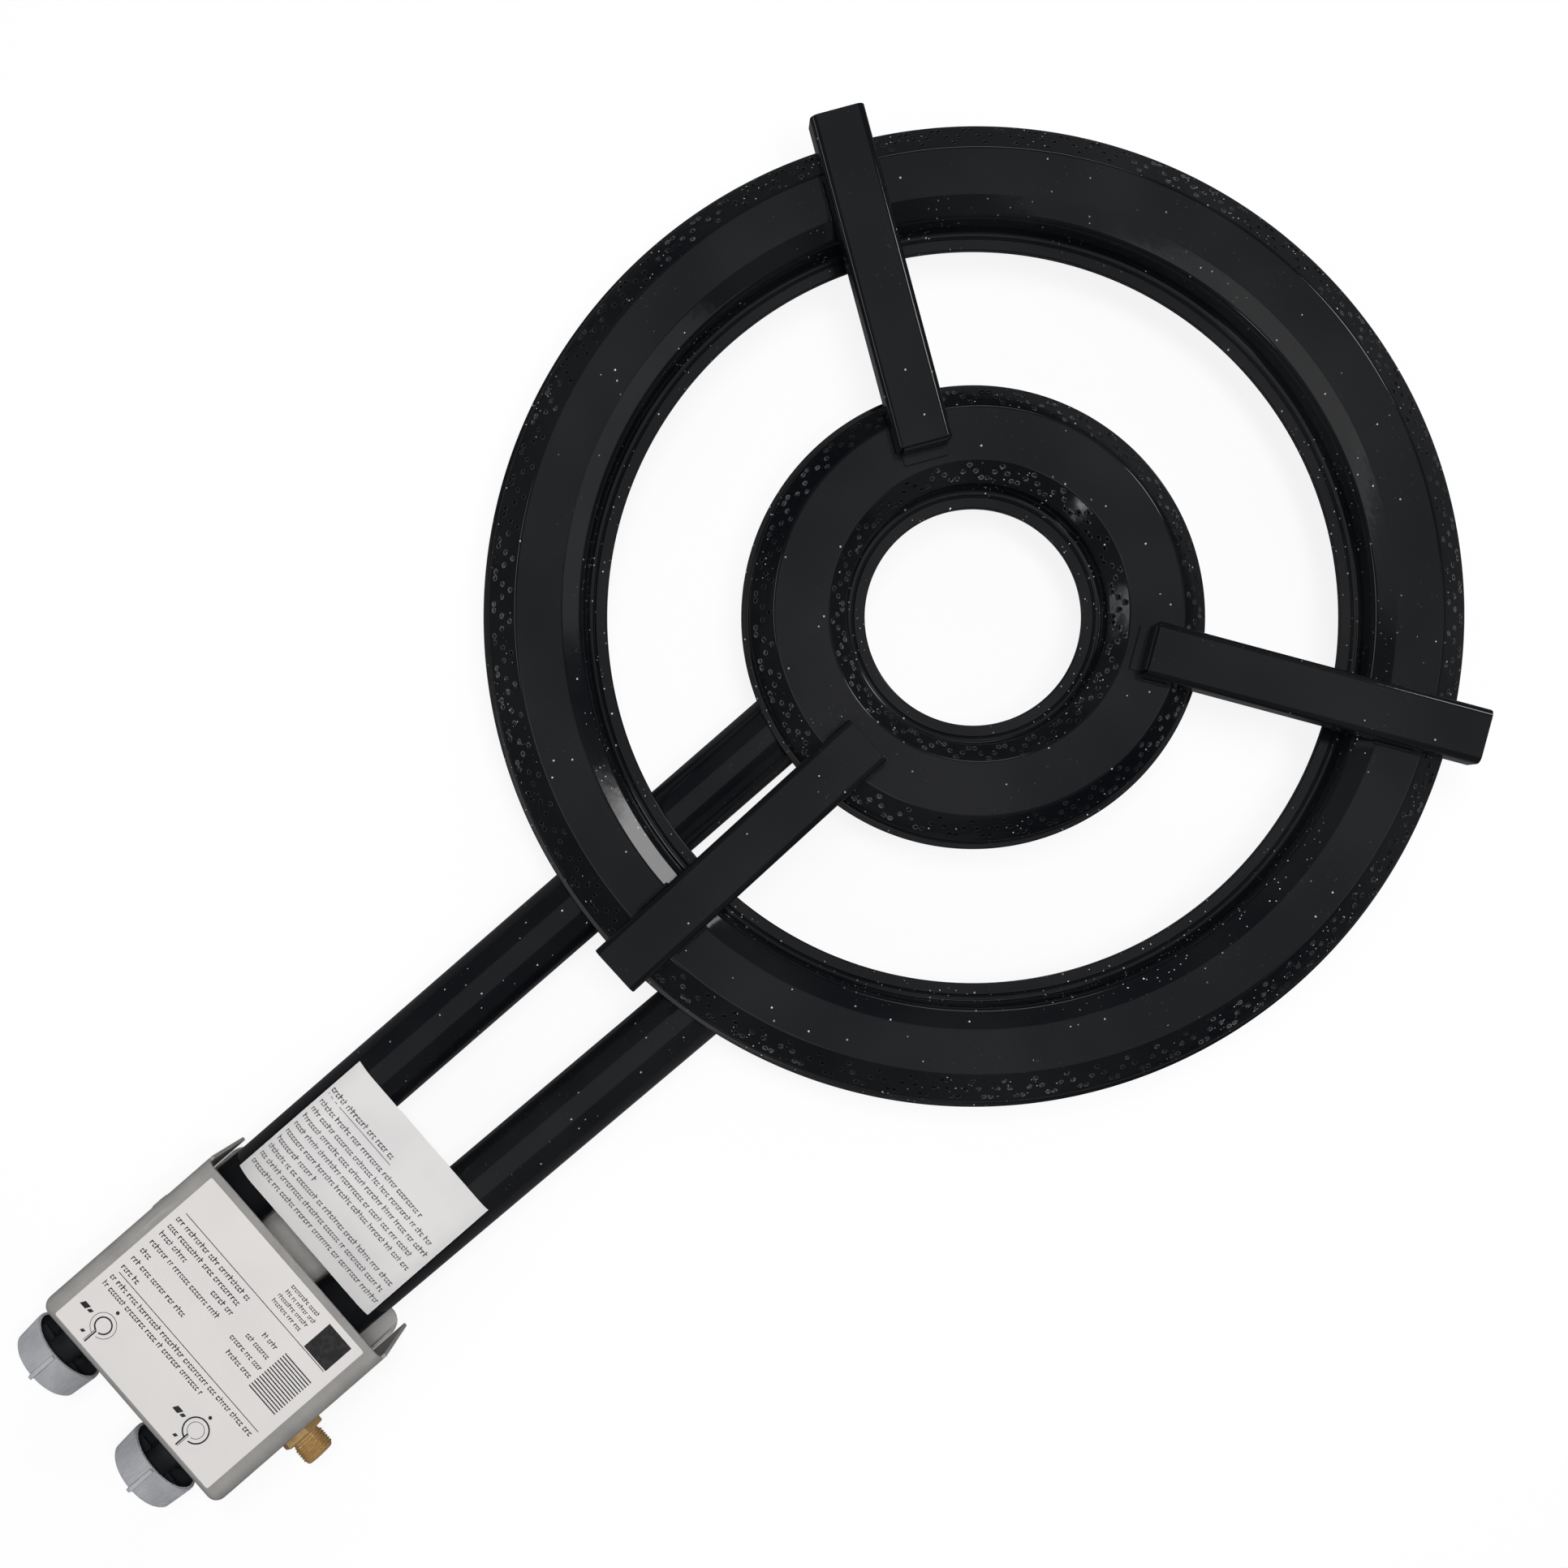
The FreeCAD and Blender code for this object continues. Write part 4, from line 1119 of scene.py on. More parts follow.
@dataclass
class InnerRing(BurnerRing):
    """The small ring, with ports on both its slopes."""

    @property
    def foot(self) -> Point:
        """Radius and height of the inner wall's foot."""
        return (self.hole + 6.9, RING_FLOOR + 1.7)

    def shell(self) -> Shape:
        """The pressed top shell, made in two halves that meet on the flat top and on the floor.

        Returns:
            The shell.
        """
        outer, centre = self.bands
        shape = Shape()
        for band in self.bands:
            band.add_to(shape)
        top_seam = (self.hole + 22.0, self.hole + 32.0)
        floor_seam = (self.hole + 16.0, self.hole + 38.0)
        shape.lathe([*self.outer_side(outer), (floor_seam[1], RING_FLOOR)], outer.columns)
        shape.lathe(rounded([
            (top_seam[1], RING_TOP, 0.0),
            (self.radius - 12.5, RING_TOP, 2.0),
            (outer.top[0], outer.top[1], 0.0),
        ], 5), outer.columns)
        shape.lathe(rounded([
            (centre.top[0], centre.top[1], 0.0),
            (self.hole + 15.2, RING_TOP, 2.0),
            (top_seam[0], RING_TOP, 0.0),
        ], 5), centre.columns)
        foot_radius, foot_height = self.foot
        inner_wall = rounded([
            (foot_radius - 0.8, foot_height - 0.1, 0.0),
            (foot_radius + 0.3, foot_height + 0.1, 1.4),
            (self.hole + 8.0, centre.low[1] - 0.6, 1.4),
            (centre.low[0], centre.low[1], 0.0),
        ])
        shape.lathe([(floor_seam[0], RING_FLOOR), *self.inner_flange(), *inner_wall], centre.columns)
        bmesh.ops.remove_doubles(shape.mesh, verts=shape.mesh.verts, dist=0.01)
        self._bridge(shape, top_seam, RING_TOP)
        self._bridge(shape, floor_seam, RING_FLOOR)
        return shape

    def _bridge(self, shape: Shape, radii: Point, height: float) -> None:
        """Join two open rims of one height.

        Args:
            shape: The shell.
            radii: Radii of the two rims.
            height: Their height.
        """
        near = 0.01
        edges = [
            edge for edge in shape.open_edges if all(
                abs(corner.co.z - height) < near
                and min(abs(corner.co.xy.length - radius) for radius in radii) < near
                for corner in edge.verts
            )
        ]
        bmesh.ops.bridge_loops(shape.mesh, edges=edges)


# The pan supports


@dataclass
class SupportArm:
    """An upturned channel across both rings, with its inner foot and its welds."""

    side: str
    angle: float
    shift: float
    finishes: Finishes
    width: float = 21.0
    sheet: float = 2.0
    bend: float = 3.0
    inner_end: float = 65.0
    outer_end: float = 193.0
    foot: float = 5.0
    tab_sheet: float = 1.6
    play: float = 0.1
    bead: float = 1.3
    weld_runs: tuple[Point, ...] = ((66.5, 74.5), (157.0, 171.0))

    def build(self) -> None:
        """Make the channel, the foot and the weld beads as one piece."""
        shape = self.channel().join(self.end_tab())
        weld_height = RING_TOP + 0.2
        for start, end in self.weld_runs:
            for side in (-1.0, 1.0):
                across = self.shift + side * (self.width / 2 + 0.4)
                ends = (start, across, weld_height), (end, across, weld_height)
                shape.join(weld_bead(*ends, self.bead, start + side))
        turn = Matrix.Translation((0, RING_AXIS_Y, 0)) @ Matrix.Rotation(math.radians(self.angle), 4, "Z")
        shape.move(turn).piece(
            self.side + "_support_channel", Body.FRAME, [self.finishes.enamel], "dark_enamel",
            [self.side + "_support_arm"],
        )

    def channel(self) -> Shape:
        """The channel itself.

        Returns:
            The channel, along X.
        """
        half = self.width / 2
        section = rounded([
            (self.shift - half, RING_TOP, 0.0),
            (self.shift - half, ARM_TOP, self.bend),
            (self.shift + half, ARM_TOP, self.bend),
            (self.shift + half, RING_TOP, 0.0),
        ], 6)
        along = (self.outer_end - self.inner_end, 0, 0)
        shape = Shape().strip([(self.inner_end, across, up) for across, up in section], along, self.sheet)
        return shape.soften_rims(0.35)

    def end_tab(self) -> Shape:
        """The end wall, bent forward at its foot on to the ring.

        Returns:
            The wall with its foot.
        """
        half = self.width / 2 - self.sheet - self.play
        seat = RING_TOP + self.play
        section = rounded([
            (self.inner_end + 0.6, ARM_TOP - self.sheet - self.play, 0.0),
            (self.inner_end + 0.1, seat, 1.6),
            (self.inner_end - self.foot, seat, 0.0),
        ], 5)
        start = [(reach, self.shift - half, up) for reach, up in section]
        return Shape().strip(start, (0, 2 * half, 0), self.tab_sheet)


def weld_bead(start: Sequence[float], end: Sequence[float], width: float, seed: float) -> Shape:
    """A bead of weld: overlapping drops along a line, slightly uneven.

    Args:
        start: One end.
        end: The other end.
        width: The bead's width.
        seed: Number that sets the unevenness.

    Returns:
        The bead.
    """
    shape = Shape()
    chance = random.Random(seed)
    way = Vector(end) - Vector(start)
    count = max(3, int(way.length / (width * 0.55)))
    for number in range(count):
        size = width * chance.uniform(0.5, 0.66)
        centre = Vector(start) + way * (number / (count - 1))
        place = Matrix.Translation(centre) @ Matrix.Diagonal((size, size, size * 0.8, 1.0))
        bmesh.ops.create_uvsphere(shape.mesh, u_segments=10, v_segments=7, radius=1.0, matrix=place)
    return shape


# The mixing tubes


@dataclass
class MixingTube:
    """A mixing tube with its rounded closed end, its riser and its weld."""

    tap: Tap
    across: float
    run: float
    splay: float
    finishes: Finishes
    radius: float = 14.0
    wall: float = 1.5
    mouth_y: float = PANEL_Y + 58.0
    riser: float = 9.0

    def build(self) -> None:
        """Make the tube, its own Z running from the mouth to the ring."""
        length = self.run + self.radius
        outside = self.radius - 0.02
        inside = self.radius - self.wall
        floor = length - self.wall - 1.0
        shape = Shape().lathe(rounded([
            (0.0, length - 0.1, 0.0),
            (outside, length - 0.1, 3.2),
            (outside, length - 9.0, 0.0),
            (outside, 0.1, 0.4),
            (inside, 0.1, 0.4),
            (inside, floor, 2.0),
            (0.0, floor, 0.0),
        ], 5), 72)
        shape.join(self._riser())
        turn = Matrix.Rotation(-self.splay, 4, "Z") @ Matrix.Rotation(math.radians(-90), 4, "X")
        place = Matrix.Translation((self.across, self.mouth_y, TUBE_HEIGHT)) @ turn
        shape.move(place).piece(
            self.tap.value + "_enamelled_tube", Body.FRAME, [self.finishes.enamel], "dark_enamel",
            [self.tap.value + "_mixing_tube"], sharp=50.0,
        )

    def _riser(self) -> Shape:
        """The short riser into the ring, with a fillet of weld at its foot.

        Returns:
            The riser in the tube's own frame.
        """
        height = RING_FLOOR - TUBE_HEIGHT + 2.5
        profile = rounded([
            (0.0, height, 0.0),
            (self.riser - 0.3, height, 0.5),
            (self.riser - 0.3, self.radius + 0.6, 0.6),
            (self.riser + 1.4, self.radius - 1.6, 0.5),
            (self.riser - 2.0, self.radius - 4.0, 0.0),
        ])
        place = Matrix.Translation((0, 0, self.run)) @ Matrix.Rotation(math.radians(90), 4, "X")
        return Shape().lathe(profile, 48).move(place)


# The housing


@dataclass
class Housing:
    """The sheet housing: a bent cover over a tray, and the screws."""

    finishes: Finishes
    left: float = -35.6
    right: float = 66.4
    depth: float = 85.4
    sheet: float = 1.5
    bend: float = 4.6
    overhang: float = 1.5
    corner: float = 6.8
    flange: float = 10.5
    flange_gap: float = 17.0
    tray_bend: float = 2.4
    play: float = 0.3
    wall_reach: float = 1.4
    rim: float = 0.25
    screw_inset: float = 46.0
    screw_height: float = 6.0
    cradle_screw_inset: float = 61.0
    cradle_top: float = 3.5

    def build(self) -> None:
        """Make the sheet pieces and the screws."""
        self.cover()
        self.tray()
        self.screws()

    def cover(self) -> None:
        """The cover: top, front and sides with round bends, open below and behind."""
        rear = PANEL_Y + self.depth
        shape = Shape().block((self.left, PANEL_Y, 0.0), (self.right, rear, HOUSING_HEIGHT))
        gone = [face for face in shape.mesh.faces if face.normal.z < -0.9 or face.normal.y > 0.9]
        bmesh.ops.delete(shape.mesh, geom=gone, context="FACES_ONLY")
        shape.bevel([edge for edge in shape.mesh.edges if not edge.is_boundary], self.bend, 7)
        for corner in shape.mesh.verts:
            if corner.co.y > rear - 0.01 and corner.co.z < HOUSING_HEIGHT - self.bend + 0.01:
                corner.co.y += self.wall_reach
        shape.turn_up().thicken(self.sheet).soften_rims(self.rim).piece(
            "bent_housing_cover", Body.FRAME, [self.finishes.paint], "grey_paint", ["housing_cover"], 28.0,
        )

    def tray(self) -> None:
        """The tray, its flanges turned up at both sides and cut short behind."""
        inset = self.sheet + self.play
        low, high = self.left + inset, self.right - inset
        front, rear = PANEL_Y + inset + 0.1, PANEL_Y + self.depth + self.overhang - 0.1
        section = rounded([
            (low, self.flange, 0.0),
            (low, 0.0, self.tray_bend),
            (high, 0.0, self.tray_bend),
            (high, self.flange, 0.0),
        ], 5)
        shape = Shape().strip(
            [(across, front, up) for across, up in section], (0, rear - front, 0), self.sheet,
            self._corner_cuts(low, high, front, rear),
        )
        gap_start, gap_foot = rear - self.flange_gap, self.tray_bend + 0.2
        shape.cut((0.0, gap_start, 0.0), (0.0, 1.0, 0.0))
        shape.cut((0.0, 0.0, gap_foot), (0.0, 0.0, 1.0))
        gone = []
        for face in shape.mesh.faces:
            centre = face.calc_center_median()
            if centre.y > gap_start and centre.z > gap_foot:
                gone.append(face)
        bmesh.ops.delete(shape.mesh, geom=gone, context="FACES")
        bmesh.ops.holes_fill(shape.mesh, edges=shape.open_edges)
        # The tray's finish carries painted light, so it reads paler than the cover.
        shape.soften_rims(self.rim).piece(
            "folded_housing_tray", Body.FRAME, [self.finishes.tray], "grey_paint", ["housing_base"], 28.0,
        )

    def _corner_cuts(self, low: float, high: float, front: float, rear: float) -> list[tuple[Vector, Vector]]:
        """Cuts that round the tray's four corners.

        Args:
            low: Left side of the tray.
            high: Its right side.
            front: Its front edge.
            rear: Its rear edge.

        Returns:
            Planes, each a point and the way to what goes.
        """
        cuts = []
        for side, edge in ((-1.0, low), (1.0, high)):
            for ahead, end in ((-1.0, front), (1.0, rear)):
                centre = Vector((edge - side * self.corner, end - ahead * self.corner, 0.0))
                for degrees in (15.0, 30.0, 45.0, 60.0, 75.0):
                    turn = math.radians(degrees)
                    way = Vector((side * math.cos(turn), ahead * math.sin(turn), 0.0))
                    cuts.append((centre + way * self.corner, way))
        return cuts

    def screws(self) -> None:
        """Hexagon screws with a washer face at both sides, and the cradle's screw."""
        head, height, shank = 7.0, 2.4, 1.7
        shape = Shape()
        for sign, face in ((1.0, self.right), (-1.0, self.left)):
            turn = Matrix.Rotation(math.radians(90 * sign), 4, "Y")
            place = Matrix.Translation((face, PANEL_Y + self.screw_inset, self.screw_height)) @ turn
            shape.join(hexagon_screw(head, height, shank, 7.0).move(place))
        shape.piece(
            "hexagon_housing_screws", Body.FRAME, [self.finishes.steel], "zinc_steel", ["housing_screws"],
        )
        middle = (self.left + self.right) / 2
        place = Matrix.Translation((middle, PANEL_Y + self.cradle_screw_inset, self.cradle_top))
        hexagon_screw(head, height, shank, 3.4).move(place).piece(
            "hexagon_cradle_screw", Body.FRAME, [self.finishes.steel], "zinc_steel", ["cradle_screw"],
        )


def hexagon_screw(width: float, height: float, shank: float, length: float) -> Shape:
    """A hexagon-head screw with a washer face.

    Args:
        width: Width of its head over the flats.
        height: Height of its head.
        shank: Radius over its thread.
        length: Length of its thread.

    Returns:
        The screw, its head's seat at the origin and its head towards +Z.
    """
    washer_radius, washer_top = width / 2 - 0.05, 0.5
    shape = hexagon_bar(width, washer_top, height)
    shape.join(Shape().lathe(rounded([
        (0.0, washer_top, 0.0),
        (washer_radius, washer_top, 0.1),
        (washer_radius, 0.0, 0.1),
        (0.0, 0.0, 0.0),
    ], 2), 32))
    return shape.join(threaded_rod(shank, -length, -0.1, 0.7, 0.25, 18))


def hexagon_bar(width: float, low: float, high: float) -> Shape:
    """A hexagonal bar whose upper corners are turned off, as on a nut.

    Args:
        width: Width over the flats.
        low: Lower end.
        high: Upper end.

    Returns:
        The bar, upright.
    """
    radius = width / 2 / math.cos(math.radians(30))
    middle = (low + high) / 2
    shape = Shape()
    bmesh.ops.create_cone(
        shape.mesh, cap_ends=True, segments=6, radius1=radius, radius2=radius, depth=high - low,
        matrix=Matrix.Translation((0, 0, middle)),
    )
    tops = [edge for edge in shape.mesh.edges if min(corner.co.z for corner in edge.verts) > middle]
    shape.bevel(tops, width * 0.045, 3)
    shape.bevel(uprights(shape, (high - low) * 0.6), width * 0.015, 2)
    return shape


def uprights(shape: Shape, least: float) -> list[bmesh.types.BMEdge]:
    """The edges of a shape that rise by more than a least height."""
    return [edge for edge in shape.mesh.edges if abs(edge.verts[0].co.z - edge.verts[1].co.z) > least]


def thread_ridge(
    root: float, crest: float, low: float, high: float, pitch: float, land: float, columns: int,
) -> Shape:
    """The ridge of a thread, as a real helix.

    Args:
        root: Radius at its foot.
        crest: Radius at its crest.
        low: Lower end.
        high: Upper end.
        pitch: Rise in one turn.
        land: Width of the flat crest, as a share of the pitch.
        columns: Steps in one turn.

    Returns:
        The ridge, upright.
    """
    ridge = Shape()
    ridge.line([
        (root, 0.0, low),
        (crest, 0.0, low + pitch * (0.5 - land / 2)),
        (crest, 0.0, low + pitch * (0.5 + land / 2)),
        (root, 0.0, low + pitch),
    ])
    turns = (high - low - pitch) / pitch
    ridge.spin(turns, int(turns * columns), pitch * turns)
    return ridge


def threaded_rod(radius: float, low: float, high: float, pitch: float, depth: float, columns: int) -> Shape:
    """A threaded rod with chamfered ends.

    Args:
        radius: Radius over the thread's crests.
        low: Lower end.
        high: Upper end.
        pitch: Rise in one turn.
        depth: Depth of the thread.
        columns: Steps in one turn.

    Returns:
        The rod, upright.
    """
    core = radius - depth
    end = core - depth / 2
    rod = Shape().lathe([
        (0.0, low), (end, low), (core, low + depth),
        (core, high - depth), (end, high), (0.0, high),
    ], columns)
    return rod.join(thread_ridge(core - 0.05, radius, low, high, pitch, 0.1, columns))


# The printed label and the paper sheet


@dataclass
class Print:
    """Marks of a print, laid flat in a plane of its own: across to the right, down the page."""

    height: Callable[[float, float], float]
    seed: int
    shape: Shape = field(default_factory=Shape)

    def __post_init__(self) -> None:
        """Start the seeded unevenness."""
        self.chance = random.Random(self.seed)

    def corner(self, across: float, down: float) -> bmesh.types.BMVert:
        """A corner of a mark, at the page's height there."""
        return self.shape.mesh.verts.new((across, -down, self.height(across, down)))

    def band(self, rims: Sequence[tuple[bmesh.types.BMVert, bmesh.types.BMVert]]) -> None:
        """Fill the band between pairs of corners."""
        for (first_low, first_high), (next_low, next_high) in zip(rims, rims[1:]):
            self.shape.mesh.faces.new((first_low, next_low, next_high, first_high))

    def bar(self, left: float, top: float, right: float, low: float, lean: float = 0.0) -> None:
        """A filled bar, which can lean to one side.

        Args:
            left: Its left side.
            top: Its upper side, down the page.
            right: Its right side.
            low: Its lower side.
            lean: How far its upper side is shifted to the right.
        """
        cells = max(1, int((right - left) / 2.5))
        places = [left + (right - left) * number / cells for number in range(cells + 1)]
        self.band([(self.corner(across, low), self.corner(across + lean, top)) for across in places])

    def words(self, left: float, right: float, base: float, size: float) -> None:
        """A line of greeked print: marks the size of letters, which spell nothing.

        Args:
            left: Where the line starts.
            right: Where it ends.
            base: The line that the marks stand on.
            size: Height of a low mark.
        """
        across = left
        word = self.chance.randint(2, 9)
        while across < right - size * 0.5:
            width = size * self.chance.uniform(0.42, 0.72)
            rise = size * (1.42 if self.chance.random() < 0.3 else 1.0)
            if self.chance.random() < 0.5:
                self.bar(across, base - rise, across + width * 0.4, base)
                self.bar(across + width * 0.4, base - size, across + width, base - size * 0.72)
            else:
                self.bar(across, base - size, across + width, base - size * 0.74)
                self.bar(across, base - size * 0.27, across + width, base)
                self.bar(across, base - size * 0.74, across + width * 0.3, base - size * 0.27)
            across += width + size * 0.2
            word -= 1
            if word == 0:
                across += size * 0.5
                word = self.chance.randint(2, 10)

    def ring(self, across: float, down: float, radius: float, width: float, gap: float) -> None:
        """A thin ring, open below.

        Args:
            across: Its centre.
            down: The same, down the page.
            radius: Its middle radius.
            width: Width of its line.
            gap: The opening, in degrees.
        """
        steps = 40
        rims = []
        for number in range(steps + 1):
            turn = math.radians(gap / 2 - 90.0 + (360.0 - gap) * number / steps)
            way = Vector((math.cos(turn), -math.sin(turn)))
            inner, outer = (Vector((across, down)) + way * (radius + side * width / 2) for side in (-1, 1))
            rims.append((self.corner(*inner), self.corner(*outer)))
        self.band([(outer, inner) for inner, outer in rims])

    def dot(self, across: float, down: float, radius: float) -> None:
        """A filled dot."""
        place = Matrix.Translation((across, -down, self.height(across, down)))
        bmesh.ops.create_circle(self.shape.mesh, cap_ends=True, segments=24, radius=radius, matrix=place)


@dataclass
class ControlLabel:
    """The film label on the housing's top, with plain rules, greeked print and the taps' signs."""

    finishes: Finishes
    left: float = -29.2
    width: float = 88.4
    top_y: float = PANEL_Y + 82.6
    height: float = 79.2
    film: float = 0.2
    ink_lift: float = 0.03
    bold: float = 0.62
    thin: float = 0.22

    def build(self) -> None:
        """Make the film and its print."""
        low = (self.left, self.top_y - self.height, HOUSING_HEIGHT - 0.05)
        top = HOUSING_HEIGHT + self.film
        shape = Shape().block(low, (self.left + self.width, self.top_y, top))
        shape.bevel(uprights(shape, 0.1), 0.8, 4)
        shape.piece("film_label", Body.FRAME, [self.finishes.label], "white_paper", merge=0.001)
        marks = Print(lambda across, down: top + self.ink_lift, 11)
        self._rules(marks)
        self._lines(marks)
        self._signs(marks, 15.6, 68.2, Tap.INNER)
        self._signs(marks, 68.8, 67.8, Tap.OUTER)
        place = Matrix.Translation((self.left, self.top_y, 0.0))
        marks.shape.move(place).piece(
            "film_label_print", Body.FRAME, [self.finishes.ink], "white_paper", merge=0.0001, solid=False,
        )

    def _rules(self, marks: Print) -> None:
        """The two thin rules, the plain dark square and the even hatch below it.

        Args:
            marks: The print.
        """
        marks.bar(4.0, 16.2, 83.8, 16.5)
        marks.bar(4.0, 50.1, 84.8, 50.4)
        marks.bar(71.6, 2.6, 84.2, 15.7)
        for number in range(15):
            marks.bar(69.0, 22.6 + 1.3 * number, 84.0, 23.1 + 1.3 * number)

    def _lines(self, marks: Print) -> None:
        """The lines of greeked print, where the real label has its text.

        Args:
            marks: The print.
        """
        for left, right, base, size in (
            (51.3, 66.5, 4.6, 1.3), (51.3, 68.0, 7.6, 1.3), (50.4, 67.0, 10.6, 1.3),
            (50.4, 66.0, 13.6, 1.3), (3.1, 45.2, 20.9, 1.7), (3.1, 45.0, 25.1, 1.7),
            (3.1, 19.5, 29.4, 1.7), (33.0, 44.5, 29.4, 1.7), (3.1, 42.5, 34.2, 1.7),
            (3.1, 8.2, 39.0, 1.7), (3.1, 33.0, 43.6, 1.7), (3.1, 12.0, 48.6, 1.7),
            (58.0, 66.4, 25.2, 1.55), (54.0, 66.6, 30.0, 1.55), (50.4, 67.6, 34.9, 1.55),
            (53.8, 68.0, 39.8, 1.55), (3.1, 84.5, 54.2, 1.7), (3.1, 60.2, 58.0, 1.7),
        ):
            marks.words(left, right, base, size)

    def _signs(self, marks: Print, across: float, down: float, tap: Tap) -> None:
        """One tap's sign: a dot for off, the two rings and its flames.

        Args:
            marks: The print.
            across: The sign's centre.
            down: The same, down the page.
            tap: The tap, whose own ring is the bold one.
        """
        large, small = (self.thin, self.bold) if tap is Tap.INNER else (self.bold, self.thin)
        opening = 24.0
        marks.dot(across, down - 7.3, 0.75)
        marks.ring(across, down, 5.1, large, opening)
        marks.ring(across, down, 3.3, small, opening)
        for offset, width in ((-1.05, large), (-0.35, small)):
            marks.bar(across + offset - width / 2, down + 3.2, across + offset + width / 2, down + 9.3)
        marks.bar(across - 12.6, down - 1.2, across - 9.6, down + 1.0, 1.1)
        marks.bar(across - 8.8, down - 0.8, across - 7.2, down + 0.7, 0.8)
        marks.bar(across - 4.9, down + 6.4, across - 3.5, down + 7.7, 0.6)


@dataclass
class InstructionSheet:
    """The paper that lies over both tubes and curls down over their outer sides."""

    finishes: Finishes
    left_tube: float = -17.4
    right_tube: float = 44.0
    left_reach: float = 9.5
    right_reach: float = 6.5
    drape_radius: float = 14.35
    far_y: float = PANEL_Y + 150.3
    length: float = 62.2
    thickness: float = 0.22
    wave: float = 0.22
    ink_lift: float = 0.04
    line_ends: tuple[float, ...] = (62.5, 73.7, 76.0, 71.6, 75.0, 24.2, 75.5, 75.5, 75.8)

    @property
    def flat(self) -> float:
        """Width of the flat run between the tubes."""
        return self.right_tube - self.left_tube

    @property
    def width(self) -> float:
        """Flat width of the whole sheet."""
        return self.flat + self.left_reach + self.right_reach

    def point(self, across: float, down: float, lift: float) -> Vector:
        """Where a point of the flat page lies on the draped page.

        Args:
            across: Distance from the page's left edge.
            down: Distance from its edge towards the rings.
            lift: Height over the sheet's underside.

        Returns:
            The place.
        """
        reach = across - self.left_reach
        inwards = max(0.0, min(self.flat, reach))
        beyond = (reach - inwards) / self.drape_radius
        arm = self.drape_radius + lift
        wave = self.wave * math.sin(down * 0.19 + 0.7) * math.sin(inwards / self.flat * math.pi)
        lowest = -0.2
        return Vector((
            self.left_tube + inwards + arm * math.sin(beyond),
            self.far_y - down,
            TUBE_HEIGHT + arm * math.cos(beyond) + max(wave, lowest),
        ))

    def build(self) -> None:
        """Make the sheet and its print."""
        shape = Shape()
        bmesh.ops.create_grid(
            shape.mesh, x_segments=60, y_segments=36, size=0.5, matrix=Matrix.Translation((0.5, 0.5, 0)),
        )
        for corner in shape.mesh.verts:
            down = (1.0 - corner.co.y) * self.length
            corner.co = self.point(corner.co.x * self.width, down, self.thickness)
        shape.turn_up().thicken(self.thickness).piece(
            "draped_instruction_paper", Body.FRAME, [self.finishes.paper], "white_paper",
            ["instruction_sheet"], merge=0.001,
        )
        marks = Print(lambda across, down: 0.0, 5)
        marks.words(1.6, 38.9, 15.6, 1.8)
        marks.bar(1.6, 16.9, 39.0, 17.15)
        for number, end in enumerate(self.line_ends):
            marks.words(1.9, end, 22.0 + 4.37 * number, 1.65)
        for corner in marks.shape.mesh.verts:
            corner.co = self.point(corner.co.x, -corner.co.y, self.thickness + self.ink_lift)
        marks.shape.piece(
            "instruction_paper_print", Body.FRAME, [self.finishes.pale_ink], "white_paper",
            merge=0.0001, solid=False,
        )


# The taps and knobs


